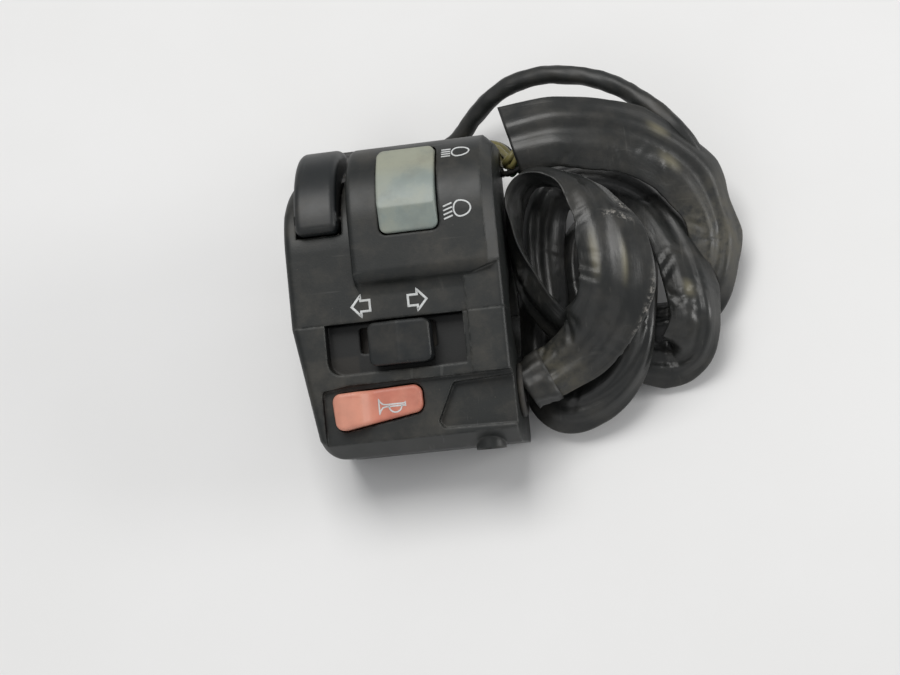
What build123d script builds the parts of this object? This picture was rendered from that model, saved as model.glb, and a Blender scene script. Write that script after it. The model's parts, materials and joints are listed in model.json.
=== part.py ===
"""Left hand handlebar switch cluster of a motorbike, with its harness in a loose pile.

The frame lies on the table: +Z is up, X runs along the handlebar towards the middle of the
bike, and the origin is on the bar's axis. The housing leans back on the table, so its pieces
are drawn on planes of its own, where x runs along the bar, y up the switch face and z out
of the face towards the rider's thumb. All lengths are millimetres.
"""
from build123d import *
import os
from math import asin, atan2, ceil, cos, degrees, hypot, pi, radians, sin, sqrt, tan

os.makedirs("parts", exist_ok=True)

# Handlebar and clamp
bar_diameter = 22.2
bar_radius = bar_diameter / 2
collar_wall = 3.2
collar_radius = bar_radius + collar_wall
tunnel_wall = 1.8
tunnel_radius = bar_radius + tunnel_wall
seat_left = 25.8
seat_relief = 1.3
lean = radians(20)

# Housing outline, seen from the rider
case_left = 27.0
case_right = 26.3
case_top = 45.0
case_bottom = 33.0
top_left = 23.7
bottom_left = 21.8
shoulder_height = 12.0
bulge_shares = (0.3, 0.62)
wall = 2.4
overrun = 5.0
running_gap = 0.05
clear_gap = 0.3

# Housing depth, measured out from the bar's axis
band_face = 23.0
block_face = 26.5
pad_face = 24.1
back_upper = 3.0
back_lower = 8.2
back_meets_collar = 9.0
crown_radius = 20.0
crown_height = 18.5
block_crown_radius = 20.5
block_left = 10.0
block_foot = 6.0
block_slope = 6.0
block_side = 2.6
block_round = 1.5
soft_edge = 2.0
pad_left = 17.1
pad_top = 8.2
pad_rise = 3.1
pad_softness = 1.0
pad_bottom = 15.2
skirt_drop = 4.5
skirt_depth = 8.0
rim_radius = 2.0
corner_radius = 5.0
small_corner = 2.2
end_corner = 4.0
back_fillet = 2.5

# Case screws
screw_radius = 1.95
screw_hole_radius = 2.25
pilot_gap = 0.05
screw_head_radius = 2.75
screw_head_height = 2.2
front_screw_x = 18.7
front_screw_z = 14.9
front_boss_radius = 3.7
boss_stands_out = 1.0
front_counterbore_radius = 3.0
front_seat = 25.0
front_thread = 11.0
rear_screw_x = -10.0
rear_screw_z = -14.8
rear_boss_radius = 3.3
rear_seat = 3.5
rear_head_way = 6.0
rear_thread = 9.0
pilot_overrun = 1.5
notch_x = -12.7
notch_radius = 1.6
notch_length = 3.0

# Dimmer rocker
dimmer_left = 1.8
dimmer_right = 12.5
dimmer_bottom = 20.4
dimmer_top = 41.8
dimmer_proud = 1.6
dimmer_crease = 26.4
dimmer_crease_proud = 2.4
dimmer_skin = 1.5
dimmer_corner = 1.8
dimmer_skirt = 4.2
window_gap = 0.4
dimmer_pivot_y = 29.0
dimmer_pivot_z = 20.3
dimmer_pin_radius = 1.0
dimmer_hub_radius = 2.3
dimmer_ear = 1.2
dimmer_ear_reach = 2.6
dimmer_ear_width = 6.0
dimmer_stem_radius = 2.3
dimmer_stem_length = 10.6
detent_bore = 1.5
ball_radius = 1.4
dimmer_ball_arm = 12.3
dimple_depth = 0.3
dimmer_swing = 10
base_thickness = 2.0
dimmer_base_lift = 2.0
dimmer_base_bottom = 16.0
dimmer_base_top = 39.0
lug_reach = 3.2
lug_width = 6.0
small_screw_radius = 0.95
small_screw_head = 2.1
small_head_height = 1.3
small_screw_length = 3.4
post_radius = 2.2
terminal_width = 2.2
terminal_thickness = 0.8
terminal_length = 5.0
terminal_pitch = 4.0

# Pass button
pass_left = 23.2
pass_right = 12.5
pass_bottom = 22.4
pass_crown_y = 23.7
pass_crown_z = 4.0
pass_crown_radius = 22.2
pass_front_end = 3.4
pass_skin = 2.0
pass_side = 1.5
pass_edge = 1.8
pass_corner = 1.8
pass_skirt = 6.2
pass_pivot_y = 26.3
pass_pivot_z = 18.4
pass_pin_radius = 1.0
pass_hub_radius = 2.2
pass_ear = 1.6
pass_ear_drop = 5.0
pass_base_bottom = 21.0
pass_base_top = 35.4
pass_base_margin = 0.8
pass_screw_y = 23.4
pass_plunger_radius = 2.2
pass_plunger_end = 8.0
pass_spring_radius = 1.7
pass_window_floor = 0.6
leaf_width = 2.0
leaf_thickness = 0.5
leaf_length = 5.6
leaf_rise = 2.4
leaf_spread = 3.1

# Turn signal switch
recess_left = 18.6
recess_right = 15.8
recess_height = 12.6
recess_floor = 18.6
recess_floor_wall = 1.6
recess_corner_left = 3.5
recess_corner_right = 2.0
slot_left = 10.8
slot_right = 8.3
slot_top = 1.2
slot_bottom = 7.6
slot_corner = 0.8
knob_width = 15.4
knob_height = 10.6
knob_middle = 6.1
knob_bottom = 20.4
knob_edge = 25.4
knob_ridge_rise = 1.8
knob_corner = 1.8
knob_rim = 0.7
knob_skin = 1.3
knob_roof = 2.4
knob_stem_x = 3.0
knob_stem_y = 2.2
knob_stem_end = 16.0
stalk_y = 4.75
sleeve_wall = 1.1
sleeve_top = 19.8
carriage_half = 8.6
carriage_thickness = 1.7
carriage_bottom_edge = 8.6
carriage_top_edge = 0.6
tab_reach = 1.9
stop_top = 10.9
stop_bottom = 12.5
tab_thickness = 1.2
tab_inner = 4.8
centring_spring_y = 10.5
centring_spring_z = 15.75
centring_spring_radius = 0.85
cancel_spring_radius = 2.2
turn_base_left = 17.0
turn_base_right = 14.6
turn_base_bottom = 14.4
turn_base_thickness = 1.3
turn_post_x = 12.5
turn_post_y = 12.2
turn_post_radius = 1.7
wiper_thickness = 0.3
wiper_width = 1.2
wiper_length = 12.0

# Horn button and panel
horn_corners = ((-18.3, -17.2), (3.8, -16.5), (3.8, -23.1), (-17.5, -26.5))
horn_corner_radius = 2.2
horn_flat = 22.7
horn_raised = 25.4
horn_rise_start = -7.0
horn_rise_end = -13.0
horn_round = 2.6
horn_bottom = 15.3
horn_flange = 1.4
horn_flange_out = 1.0
horn_edge_radius = 0.8
panel_floor = 21.2
panel_left = 20.7
panel_top_left = 16.2
panel_step_x = 14.0
panel_top = 15.3
pocket_floor = 18.9
pocket_corners = ((11.6, -16.9), (28.6, -16.3), (28.9, -28.4), (8.4, -27.9), (7.1, -26.2))
pocket_corner_radius = 1.0
horn_axis_x = -7.0
horn_axis_y = -21.2
horn_stem_radius = 2.0
horn_stem_end = 12.3
horn_base_face = 9.0
horn_base_left = 13.0
horn_base_right = 9.2
horn_base_low = 30.2
horn_base_high = 15.6
horn_post_right = (7.0, -18.6)
horn_post_low = (-3.0, -28.3)
horn_post_radius = 1.8
horn_spring_radius = 1.3
bridge_length = 12.0
bridge_width = 3.0
bridge_thickness = 0.4
contact_radius = 1.1
contact_height = 0.6
contact_spread = 4.5

# Springs
spring_wire = 0.25
turns_dimmer = 5
turns_pass = 5
turns_cancel = 3
turns_centring = 8
turns_horn = 3

# Harness
sheath_radius = 5.0
exit_y = -20.0
exit_z = 7.0
grommet_flange = 6.8
grommet_out = 1.5
grommet_hole = 5.6
grommet_bore = 3.4
grommet_in = 1.2
core_radius = 3.1
core_end = 12.5
clip_width = 4.0
clip_band = 0.9
clip_x = 17.5
clip_ear = 6.0
clip_screw_length = 4.0
table = -18.5
floor_gap = 0.02
turn_rights = [(54.0, 1.25, 16.5), (73.95, -0.5, -2.0), (59.6, -3.25, 0.5), (84.0, 8.5, -9.0)]
turn_backs = [(41.0, 29.5, 18.0), (43.25, 42.75, -8.5), (51.0, 24.75, -10.0), (43.0, 44.6, 15.5)]
turn_lefts = [(33.1, 6.0, 5.5), (33.35, 5.75, -13.0), (44.0, 10.0, -18.5)]
turn_fronts = [(65.6, -13.0, -18.5), (42.1, -28.5, -11.5), (66.5, -1.0, -18.5)]
turn_climb_share = 0.87
samples_per_arc = 12
sheath_tail = 11.5
main_wire_radius = 1.55
main_wire_points = ((17.0, 44.6, 15.5), (8.0, 55.0, 2.0), (15.0, 51.0, -16.5),
                    (12.0, 29.0, -14.0), (-12.0, 29.0, -14.0))
branch_radius = 2.2
branch_points = ((79.2, 26.7, 0.3), (78.5, 38.0, 4.0), (69.5, 48.8, 5.0), (57.5, 60.3, 5.0),
                 (45.0, 65.5, 4.0), (31.8, 68.5, 1.5), (20.2, 65.5, -4.0), (9.0, 56.0, -15.6),
                 (-7.0, 56.0, -15.6))
connector_wall = 1.2
connector_corner = 0.8
main_connector_length = 20.0
main_connector_width = 14.0
main_connector_height = 9.5
main_mouth = 12.0
branch_connector_length = 14.0
branch_connector_width = 8.0
branch_connector_height = 6.8
branch_mouth = 8.0
pin_width = 1.5
pin_thickness = 0.8
pin_pitch = 2.8


# Planes of the leaning housing

def across(x):
    """A plane square to the bar at x. Its own x runs up the face, its y out of the face."""
    return Plane(origin=(x, 0, 0), x_dir=(0, cos(lean), sin(lean)), z_dir=(1, 0, 0))


def face(z):
    """A plane along the switch face at depth z. Its own x runs along the bar, y up the face."""
    return Plane(origin=(0, -z * sin(lean), z * cos(lean)), x_dir=(1, 0, 0),
                 z_dir=(0, -sin(lean), cos(lean)))


def ahead(y):
    """A plane square to the face at height y, looking down it. Its y runs out of the face."""
    return Plane(origin=(0, y * cos(lean), y * sin(lean)), x_dir=(1, 0, 0),
                 z_dir=(0, -cos(lean), -sin(lean)))


def place(x, y, z):
    """A point of the leaning housing, in the table's frame."""
    return Vector(x, y * cos(lean) - z * sin(lean), y * sin(lean) + z * cos(lean))


out_of_face = Axis((0, 0, 0), (0, -sin(lean), cos(lean)))
up_the_face = Axis((0, 0, 0), (0, cos(lean), sin(lean)))


# Curves that several pieces share

def plan_line(inset=0):
    """The housing's outline seen from the rider, drawn inside by inset."""
    left, right = -case_left + inset, case_right - inset
    top, bottom = case_top - inset, -case_bottom + inset
    with BuildLine() as outline:
        middle = (left + (case_left - top_left) * bulge_shares[0],
                  (shoulder_height + top) * bulge_shares[1])
        shoulder = ThreePointArc((left, shoulder_height), middle, (-top_left + inset, top))
        Polyline(shoulder @ 1, (right, top), (right, bottom), (-bottom_left + inset, bottom),
                 (left, 0), shoulder @ 0)
    return outline.line


def draw_plan(inset=0):
    """The housing's outline as a face, with the photographed corner sizes."""
    make_face(plan_line(inset).edges())
    low = vertices().group_by(Axis.Y)[0].sort_by(Axis.X)
    fillet(low[0], corner_radius - inset / 2)
    fillet(low[-1], end_corner - inset / 2)
    top = vertices().group_by(Axis.Y)[-1].sort_by(Axis.X)
    fillet(top[0], small_corner)
    fillet(top[-1], end_corner - inset / 2)


def draw_crown(face_height, crown_y, radius, foot, inset=0):
    """A slice of the upper case: face, crown over the top, and back wall."""
    outer = radius - inset
    back = -back_upper + inset
    with BuildLine() as outline:
        crown = CenterArc((crown_y, face_height - radius), outer, 0, 90)
        front = Line(crown @ 1, (foot, face_height - inset))
        low = Line(front @ 1, (foot, back))
        rear = Line(low @ 1, (crown_y + outer, back))
        Line(rear @ 1, crown @ 0)
    make_face(outline.line.edges())


def draw_block():
    """A slice of the raised block, whose foot swells out of the face in two arcs."""
    with BuildLine() as outline:
        crown = CenterArc((block_crown_y, block_face - block_crown_radius), block_crown_radius,
                          0, 90)
        front = Line(crown @ 1, (block_foot + block_slope, block_face))
        half_way = (block_foot + block_slope / 2, (block_face + band_face) / 2)
        swell = TangentArc(front @ 1, half_way, tangent=(-1, 0))
        settle = TangentArc(half_way, (block_foot, band_face), tangent=swell % 1)
        low = Line(settle @ 1, (block_foot, -back_upper))
        rear = Line(low @ 1, (case_top, -back_upper))
        Line(rear @ 1, crown @ 0)
    make_face(outline.line.edges())


def draw_pad():
    """The pad at the inner end, across the parting line and up to its slanted top edge."""
    with BuildLine() as outline:
        Polyline((pad_left, -pad_bottom), (pad_left, pad_top), (case_right, pad_top + pad_rise),
                 (case_right, -pad_bottom), close=True)
    make_face(outline.line.edges())


def half_disc(radius, side):
    """Half of a disc on the bar's axis, up or down the face by the sign of side."""
    Circle(radius)
    with Locations((-side * radius, 0)):
        Rectangle(2 * radius, 2 * radius, mode=Mode.SUBTRACT)


# Turns of cord and spring

def biarc(start, way, end, end_way):
    """The point and direction where two arcs join that leave and arrive as asked."""
    chord, sum_of_ways = end - start, way + end_way
    spread = 2 * (1 - way.dot(end_way))
    along = chord.dot(sum_of_ways)
    reach = (sqrt(along ** 2 + spread * chord.dot(chord)) - along) / spread
    first, last = start + way * reach, end - end_way * reach
    return (first + last) * 0.5, (last - first).normalized()


def wind(knots):
    """Arcs through a list of points with directions, two arcs from each to the next."""
    for (start, way), (end, end_way) in zip(knots, knots[1:]):
        middle, middle_way = biarc(start, way, end, end_way)
        TangentArc(start, middle, tangent=way)
        TangentArc(middle, end, tangent=middle_way)


def spring_knots(start, axis, side, radius, height, turns):
    """Half turn knots of a compression spring that stands on start along axis."""
    third = axis.cross(side)
    rise = height / turns / (2 * pi)
    knots = []
    for step in range(2 * turns + 1):
        angle = pi * step
        reach = side * cos(angle) + third * sin(angle)
        way = (third * cos(angle) - side * sin(angle)) * radius + axis * rise
        knots.append((start + reach * radius + axis * rise * angle, way.normalized()))
    return knots


def coil_spring(label, start, axis, side, radius, height, turns):
    """A compression spring as one unbroken wire."""
    with BuildPart() as spring:
        with BuildLine() as path:
            wind(spring_knots(start, axis, side, radius, height, turns))
        with BuildSketch(Plane(origin=path.line @ 0, z_dir=path.line % 0)):
            Circle(spring_wire)
        sweep(path=path.line)
    spring.part.label = label
    return spring


def bend_radii(points):
    """For each inner point of a free cord, the largest arc that its two runs allow."""
    radii = []
    for before, here, after in zip(points, points[1:], points[2:]):
        arriving, leaving = Vector(*here) - Vector(*before), Vector(*after) - Vector(*here)
        turn = radians(arriving.get_angle(leaving))
        radii.append(0.45 * min(arriving.length, leaving.length) / tan(turn / 2))
    return radii


def cord(label, points, radius):
    """A free cord: straight runs joined by tangent arcs."""
    radii = bend_radii(points)
    with BuildPart() as tube:
        with BuildLine() as path:
            FilletPolyline(*points, radius=radii)
        with BuildSketch(Plane(origin=path.line @ 0, z_dir=path.line % 0)):
            Circle(radius)
        sweep(path=path.line)
    tube.part.label = label
    length = sum(edge.length for edge in path.edges())
    print(label, "length", round(length, 1), "radii", [round(r, 1) for r in radii],
          "volume ratio", round(tube.part.volume / (pi * radius ** 2 * length), 4))
    return tube


def screw(position_plane, x, y, radius, head, head_height, length):
    """A pan head screw: the head stands on the plane, the shank runs the other way."""
    with BuildSketch(position_plane) as head_disc:
        with Locations((x, y)):
            Circle(head)
    extrude(head_disc.sketch, amount=head_height)
    with BuildSketch(position_plane) as shank:
        with Locations((x, y)):
            Circle(radius)
    extrude(shank.sketch, amount=-length)


def hollow_across(x, thickness, y, z, radius):
    """A round hole along the bar's direction, at one height and depth."""
    with BuildSketch(across(x)) as hole:
        with Locations((y, z)):
            Circle(radius)
    extrude(hole.sketch, amount=thickness, mode=Mode.SUBTRACT)


# Upper case half: shell, raised block, bar tunnel, bosses, ears and posts
dimmer_middle = (dimmer_right - dimmer_left) / 2
block_crown_y = case_top - block_crown_radius
crown_z = band_face - crown_radius
with BuildPart() as raised_block:
    with BuildSketch(across(-block_left)):
        draw_block()
    extrude(amount=block_left + case_right)
    inner_end = raised_block.faces().sort_by(Axis.X)[-1].edges()
    chamfer(inner_end.filter_by(GeomType.CIRCLE)
            + inner_end.filter_by(up_the_face).sort_by(out_of_face)[-1:], block_side)
    outer_end = raised_block.faces().sort_by(Axis.X)[0].edges()
    fillet(outer_end.filter_by(GeomType.CIRCLE)
           + outer_end.filter_by(up_the_face).sort_by(out_of_face)[-1:], block_round)

with BuildPart() as inner_pad:
    with BuildSketch(face(0)):
        draw_pad()
    extrude(amount=pad_face)
    fillet(inner_pad.faces().sort_by(out_of_face)[-1].edges().sort_by(Axis.X)[-1], pad_softness)

with BuildPart() as upper_case:
    with BuildSketch(across(-case_left)):
        draw_crown(band_face, crown_height, crown_radius, 0)
    extrude(amount=case_left + case_right)
    add(raised_block.part)
    with BuildSketch(across(-case_left)):
        half_disc(collar_radius, 1)
    extrude(amount=case_left + case_right)
    add(split(inner_pad.part, bisect_by=ahead(0), keep=Keep.BOTTOM, mode=Mode.PRIVATE))
    with BuildSketch(face(pad_face)):
        draw_pad()
    extrude(amount=block_face, mode=Mode.SUBTRACT)
    with BuildSketch(face(-collar_radius - overrun)):
        draw_plan()
    extrude(amount=collar_radius + block_face + 2 * overrun, mode=Mode.INTERSECT)
    outer_rim = upper_case.edges().filter_by_position(Axis.X, -case_left - overrun, -top_left)
    fillet(outer_rim.filter_by_position(out_of_face, band_face / 2, block_face), soft_edge)
    with BuildSketch(across(-case_left)):
        draw_crown(band_face, crown_height, crown_radius, 0, wall)
    inner_reach = case_left + case_right
    hollow = extrude(amount=inner_reach, mode=Mode.PRIVATE)
    with BuildSketch(across(-block_left + wall)):
        draw_crown(block_face, block_crown_y, block_crown_radius, block_foot + block_slope, wall)
    block_hollow = extrude(amount=block_left + case_right, mode=Mode.PRIVATE)
    with BuildSketch(face(-overrun)):
        draw_plan(wall)
    core = extrude(amount=block_face + 2 * overrun, mode=Mode.PRIVATE)
    add([hollow & core, block_hollow & core], mode=Mode.SUBTRACT)
    with BuildSketch(across(-case_left + wall)):
        half_disc(tunnel_radius, 1)
    extrude(amount=case_left + case_right - 2 * wall)
    with BuildSketch(ahead(0)):
        with Locations((front_screw_x, front_screw_z)):
            Circle(front_boss_radius)
    extrude(amount=-front_thread - pilot_overrun)
    with BuildSketch(ahead(0)):
        with Locations((rear_screw_x, rear_screw_z)):
            Circle(rear_boss_radius)
    extrude(amount=-rear_thread - pilot_overrun)
    # Window and pivot ears of the rocker and of the pass button
    with BuildSketch(face(crown_z + clear_gap)) as dimmer_window:
        with Locations((dimmer_middle, (dimmer_bottom + dimmer_top) / 2)):
            Rectangle(dimmer_left + dimmer_right + 2 * window_gap,
                      dimmer_top - dimmer_bottom + 2 * window_gap)
        fillet(dimmer_window.vertices(), rim_radius)
    extrude(amount=block_face + overrun, mode=Mode.SUBTRACT)
    pass_width = pass_left - pass_right
    pass_middle = -(pass_left + pass_right) / 2
    with BuildSketch(face(pass_window_floor)):
        with Locations((pass_middle, pass_bottom - window_gap)):
            Rectangle(pass_width + 2 * window_gap, case_top, align=(Align.CENTER, Align.MIN))
    extrude(amount=block_face + overrun, mode=Mode.SUBTRACT)
    ear_top = pass_pivot_z + pass_ear
    for ear_left in (-pass_left - window_gap - pass_ear, -pass_right + window_gap):
        with BuildSketch(across(ear_left)):
            with Locations((pass_pivot_y, ear_top)):
                Rectangle(pass_ear_drop, pass_ear_drop, align=(Align.CENTER, Align.MAX))
        extrude(amount=pass_ear)
    hollow_across(-pass_left - window_gap - pass_ear, pass_width + 2 * (window_gap + pass_ear),
                  pass_pivot_y, pass_pivot_z, pass_pin_radius + running_gap / 2)
    # Posts for the dimmer's base, standing on the back wall
    back_inside = -back_upper + wall
    dimmer_base_back = back_inside + dimmer_base_lift
    dimmer_lug_y = (dimmer_base_bottom + dimmer_base_top) / 2
    dimmer_lugs = ((-dimmer_left - lug_reach, dimmer_lug_y), (dimmer_right + lug_reach, dimmer_lug_y))
    with BuildSketch(face(back_inside - wall / 2)):
        with Locations(*dimmer_lugs):
            Circle(post_radius)
    extrude(amount=dimmer_base_lift + wall / 2)
    with BuildSketch(face(dimmer_base_back)):
        with Locations(*dimmer_lugs):
            Circle(small_screw_radius + pilot_gap)
    extrude(amount=-small_screw_length + small_head_height, mode=Mode.SUBTRACT)
    with BuildSketch(face(back_inside)):
        with Locations((pass_middle, pass_screw_y)):
            Circle(small_screw_radius + pilot_gap)
    extrude(amount=-wall * 3 / 4, mode=Mode.SUBTRACT)
    # Bar seat, screw holes and the relief at the bar's outer end
    with BuildSketch(across(-case_left - overrun)):
        Circle(bar_radius)
    extrude(amount=case_left + case_right + 2 * overrun, mode=Mode.SUBTRACT)
    with BuildSketch(across(-case_left - overrun)):
        Circle(bar_radius + seat_relief)
    extrude(amount=case_left + overrun - seat_left, mode=Mode.SUBTRACT)
    with BuildSketch(ahead(0)):
        with Locations((front_screw_x, front_screw_z)):
            Circle(screw_radius + pilot_gap)
    extrude(amount=-front_thread, mode=Mode.SUBTRACT)
    with BuildSketch(ahead(0)):
        with Locations((rear_screw_x, rear_screw_z)):
            Circle(screw_radius + pilot_gap)
    extrude(amount=-rear_thread, mode=Mode.SUBTRACT)
upper_case.part.label = "upper_case"
export_step(upper_case.part, "parts/upper_case.step")

# Lower case half: shell, slider recess, horn panel, deep pocket, screw bosses and posts
inner_face = recess_floor - recess_floor_wall
pocket_left, pocket_right = -panel_left, case_right + overrun
with BuildPart() as lower_form:
    with BuildSketch(face(-collar_radius - overrun)):
        draw_plan()
    extrude(amount=collar_radius + band_face + overrun)
    fillet(lower_form.faces().sort_by(out_of_face)[-1].edges().sort_by(up_the_face)[:3], soft_edge)

with BuildPart() as lower_case:
    with BuildSketch(across(-case_left)) as lower_slice:
        with BuildLine() as lower_outline:
            meet = asin(back_meets_collar / collar_radius)
            collar = CenterArc((0, 0), collar_radius, 180 + degrees(meet), 90 - degrees(meet))
            Polyline(collar @ 1, (0, band_face), (-case_bottom + skirt_drop, band_face),
                     (-case_bottom, band_face - skirt_depth), (-case_bottom, -back_lower),
                     collar @ 0)
        make_face(lower_outline.line.edges())
        rear_low = lower_slice.vertices().group_by(Axis.X)[0].sort_by(Axis.Y)
        fillet(rear_low[0], back_fillet)
        fillet(rear_low[-1], back_fillet)
    extrude(amount=case_left + case_right)
    add(lower_form.part, mode=Mode.INTERSECT)
    front_edges = lower_case.edges().filter_by(Axis.X).group_by(out_of_face)[-1]
    fillet(front_edges.sort_by(up_the_face)[0], soft_edge)
    add(split(inner_pad.part, bisect_by=ahead(0), keep=Keep.TOP, mode=Mode.PRIVATE))
    # Panel below the ridge, with the deep pocket right of the horn button
    with BuildSketch(face(panel_floor)) as panel:
        with BuildLine() as panel_edge:
            Polyline((-panel_left, -panel_top_left), (-panel_step_x, -panel_top),
                     (pocket_right, -panel_top), (pocket_right, -case_bottom - overrun),
                     (-panel_left, -case_bottom - overrun), close=True)
        make_face(panel_edge.line.edges())
        fillet(panel.vertices().sort_by_distance((-panel_left, -panel_top_left))[0],
               pocket_corner_radius)
    extrude(amount=overrun, mode=Mode.SUBTRACT)
    with BuildSketch(face(pocket_floor)) as pocket:
        with BuildLine() as pocket_edge:
            Polyline(*pocket_corners, close=True)
        make_face(pocket_edge.line.edges())
        fillet(pocket.vertices(), pocket_corner_radius)
    extrude(amount=overrun, mode=Mode.SUBTRACT)
    # Recess of the turn signal slider, open at the parting line
    with BuildSketch(face(recess_floor)) as recess:
        with Locations(((recess_right - recess_left) / 2, 0)):
            Rectangle(recess_left + recess_right, 2 * recess_height)
        low = recess.vertices().group_by(Axis.Y)[0].sort_by(Axis.X)
        fillet(low[0], recess_corner_left)
        fillet(low[-1], recess_corner_right)
    extrude(amount=overrun + band_face - recess_floor, mode=Mode.SUBTRACT)
    # Hollow, bar tunnel and the bosses and posts inside
    with BuildSketch(across(-case_left)):
        with Locations((-case_bottom + wall, inner_face)):
            Rectangle(case_bottom - wall, inner_face + back_lower - wall,
                      align=(Align.MIN, Align.MAX))
    low_hollow = extrude(amount=case_left + case_right, mode=Mode.PRIVATE)
    with BuildSketch(face(-back_lower)):
        draw_plan(wall)
    low_core = extrude(amount=back_lower + band_face, mode=Mode.PRIVATE)
    add(low_hollow & low_core, mode=Mode.SUBTRACT)
    with BuildSketch(across(-case_left + wall)):
        half_disc(collar_radius - clear_gap, -1)
        with Locations((0, tunnel_radius)):
            Rectangle(2 * collar_radius, collar_radius, align=(Align.CENTER, Align.MIN),
                      mode=Mode.SUBTRACT)
    extrude(amount=case_left + case_right - 2 * wall)
    with BuildSketch(ahead(0)):
        with Locations((front_screw_x, front_screw_z)):
            Circle(front_boss_radius)
    extrude(amount=case_bottom + boss_stands_out)
    with BuildSketch(ahead(0)):
        with Locations((rear_screw_x, rear_screw_z)):
            Circle(rear_boss_radius)
    extrude(amount=rear_seat)
    turn_base_face = recess_floor - recess_floor_wall - clear_gap - carriage_thickness - 2 * clear_gap
    turn_posts = ((-turn_post_x, -turn_post_y), (turn_post_x, -turn_post_y))
    with BuildSketch(face(turn_base_face)):
        with Locations(*turn_posts):
            Circle(turn_post_radius)
    extrude(amount=recess_floor - turn_base_face)
    horn_posts = (horn_post_right, horn_post_low)
    with BuildSketch(face(horn_base_face)):
        with Locations(*horn_posts):
            Circle(horn_post_radius)
    extrude(amount=inner_face - horn_base_face + clear_gap)
    clip_face = exit_z - core_radius - running_gap - clip_band
    clip_screw_y = exit_y - clip_ear
    with BuildSketch(face(-back_lower + wall / 2)):
        with Locations((clip_x, clip_screw_y)):
            Circle(post_radius)
    extrude(amount=clip_face + back_lower - wall / 2)
    # Openings: stalk slot, horn window, harness exit, notch and screw holes
    with BuildSketch(face(tunnel_radius + clear_gap)):
        with Locations(((slot_right - slot_left) / 2, -(slot_top + slot_bottom) / 2)):
            RectangleRounded(slot_left + slot_right, slot_bottom - slot_top, slot_corner)
    extrude(amount=band_face, mode=Mode.SUBTRACT)
    with BuildSketch(face(inner_face - clear_gap)) as horn_window:
        with BuildLine() as horn_edge:
            Polyline(*horn_corners, close=True)
        make_face(horn_edge.line.edges())
        fillet(horn_window.vertices(), horn_corner_radius)
        offset(amount=window_gap)
    extrude(amount=band_face - inner_face + overrun, mode=Mode.SUBTRACT)
    with BuildSketch(across(case_right - wall - clear_gap)):
        with Locations((exit_y, exit_z)):
            Circle(grommet_hole)
    extrude(amount=wall + overrun, mode=Mode.SUBTRACT)
    with BuildSketch(ahead(-case_bottom + notch_length)):
        with Locations((notch_x, -back_lower)):
            Circle(notch_radius)
    extrude(amount=notch_length + overrun, mode=Mode.SUBTRACT)
    with BuildSketch(ahead(overrun)):
        with Locations((front_screw_x, front_screw_z)):
            Circle(screw_hole_radius)
    extrude(amount=case_bottom + 2 * overrun, mode=Mode.SUBTRACT)
    with BuildSketch(ahead(-front_seat)):
        with Locations((front_screw_x, front_screw_z)):
            Circle(front_counterbore_radius)
    extrude(amount=case_bottom, mode=Mode.SUBTRACT)
    with BuildSketch(ahead(overrun)):
        with Locations((rear_screw_x, rear_screw_z)):
            Circle(screw_hole_radius)
    extrude(amount=2 * overrun + rear_seat, mode=Mode.SUBTRACT)
    with BuildSketch(ahead(-rear_seat)):
        with Locations((rear_screw_x, rear_screw_z)):
            Circle(front_counterbore_radius)
    extrude(amount=rear_head_way, mode=Mode.SUBTRACT)
    with BuildSketch(face(turn_base_face)):
        with Locations(*turn_posts):
            Circle(small_screw_radius + pilot_gap)
    extrude(amount=small_screw_length, mode=Mode.SUBTRACT)
    with BuildSketch(face(horn_base_face)):
        with Locations(*horn_posts):
            Circle(small_screw_radius + pilot_gap)
    extrude(amount=small_screw_length, mode=Mode.SUBTRACT)
    with BuildSketch(face(clip_face)):
        with Locations((clip_x, clip_screw_y)):
            Circle(small_screw_radius + pilot_gap)
    extrude(amount=-clip_screw_length, mode=Mode.SUBTRACT)
    # Bar seat and its relief
    with BuildSketch(across(-case_left - overrun)):
        Circle(bar_radius)
    extrude(amount=case_left + case_right + 2 * overrun, mode=Mode.SUBTRACT)
    with BuildSketch(across(-case_left - overrun)):
        Circle(bar_radius + seat_relief)
    extrude(amount=case_left + overrun - seat_left, mode=Mode.SUBTRACT)
lower_case.part.label = "lower_case"
export_step(lower_case.part, "parts/lower_case.step")

# Case screws: one in front of the bar, one behind it
with BuildPart() as case_screws:
    for seat, x, z, thread in ((front_seat, front_screw_x, front_screw_z, front_thread),
                               (rear_seat, rear_screw_x, rear_screw_z, rear_thread)):
        screw(ahead(-seat), x, z, screw_radius, screw_head_radius, screw_head_height,
              seat + thread - pilot_overrun)
case_screws.part.label = "case_screws"
export_step(case_screws.part, "parts/case_screws.step")


# Dimmer: rocker, pin, contact base, screws, detent and terminals

def rocker_slice(inset=0, skirt=0):
    """A slice of the rocker: two faces that meet at a crease, the upper one round the crown."""
    crown_r = block_crown_radius + dimmer_proud - inset
    crown_c = block_face - block_crown_radius
    middle_y = (dimmer_crease + dimmer_top) / 2
    low, top = dimmer_bottom + inset, dimmer_top - inset
    top_z = crown_c + sqrt(crown_r ** 2 - (top - block_crown_y) ** 2)
    middle_z = crown_c + sqrt(crown_r ** 2 - (middle_y - block_crown_y) ** 2)
    low_z = block_face + dimmer_proud / 2 - inset
    crease_z = block_face + dimmer_crease_proud - inset
    with BuildLine() as outline:
        lower = Line((low, low_z - skirt), (low, low_z))
        flat = Line(lower @ 1, (dimmer_crease, crease_z))
        crown = ThreePointArc(flat @ 1, (middle_y, middle_z), (top, top_z))
        end = Line(crown @ 1, (top, top_z - skirt))
        ThreePointArc(end @ 1, (middle_y, middle_z - skirt), lower @ 0)
    make_face(outline.line.edges())


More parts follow.
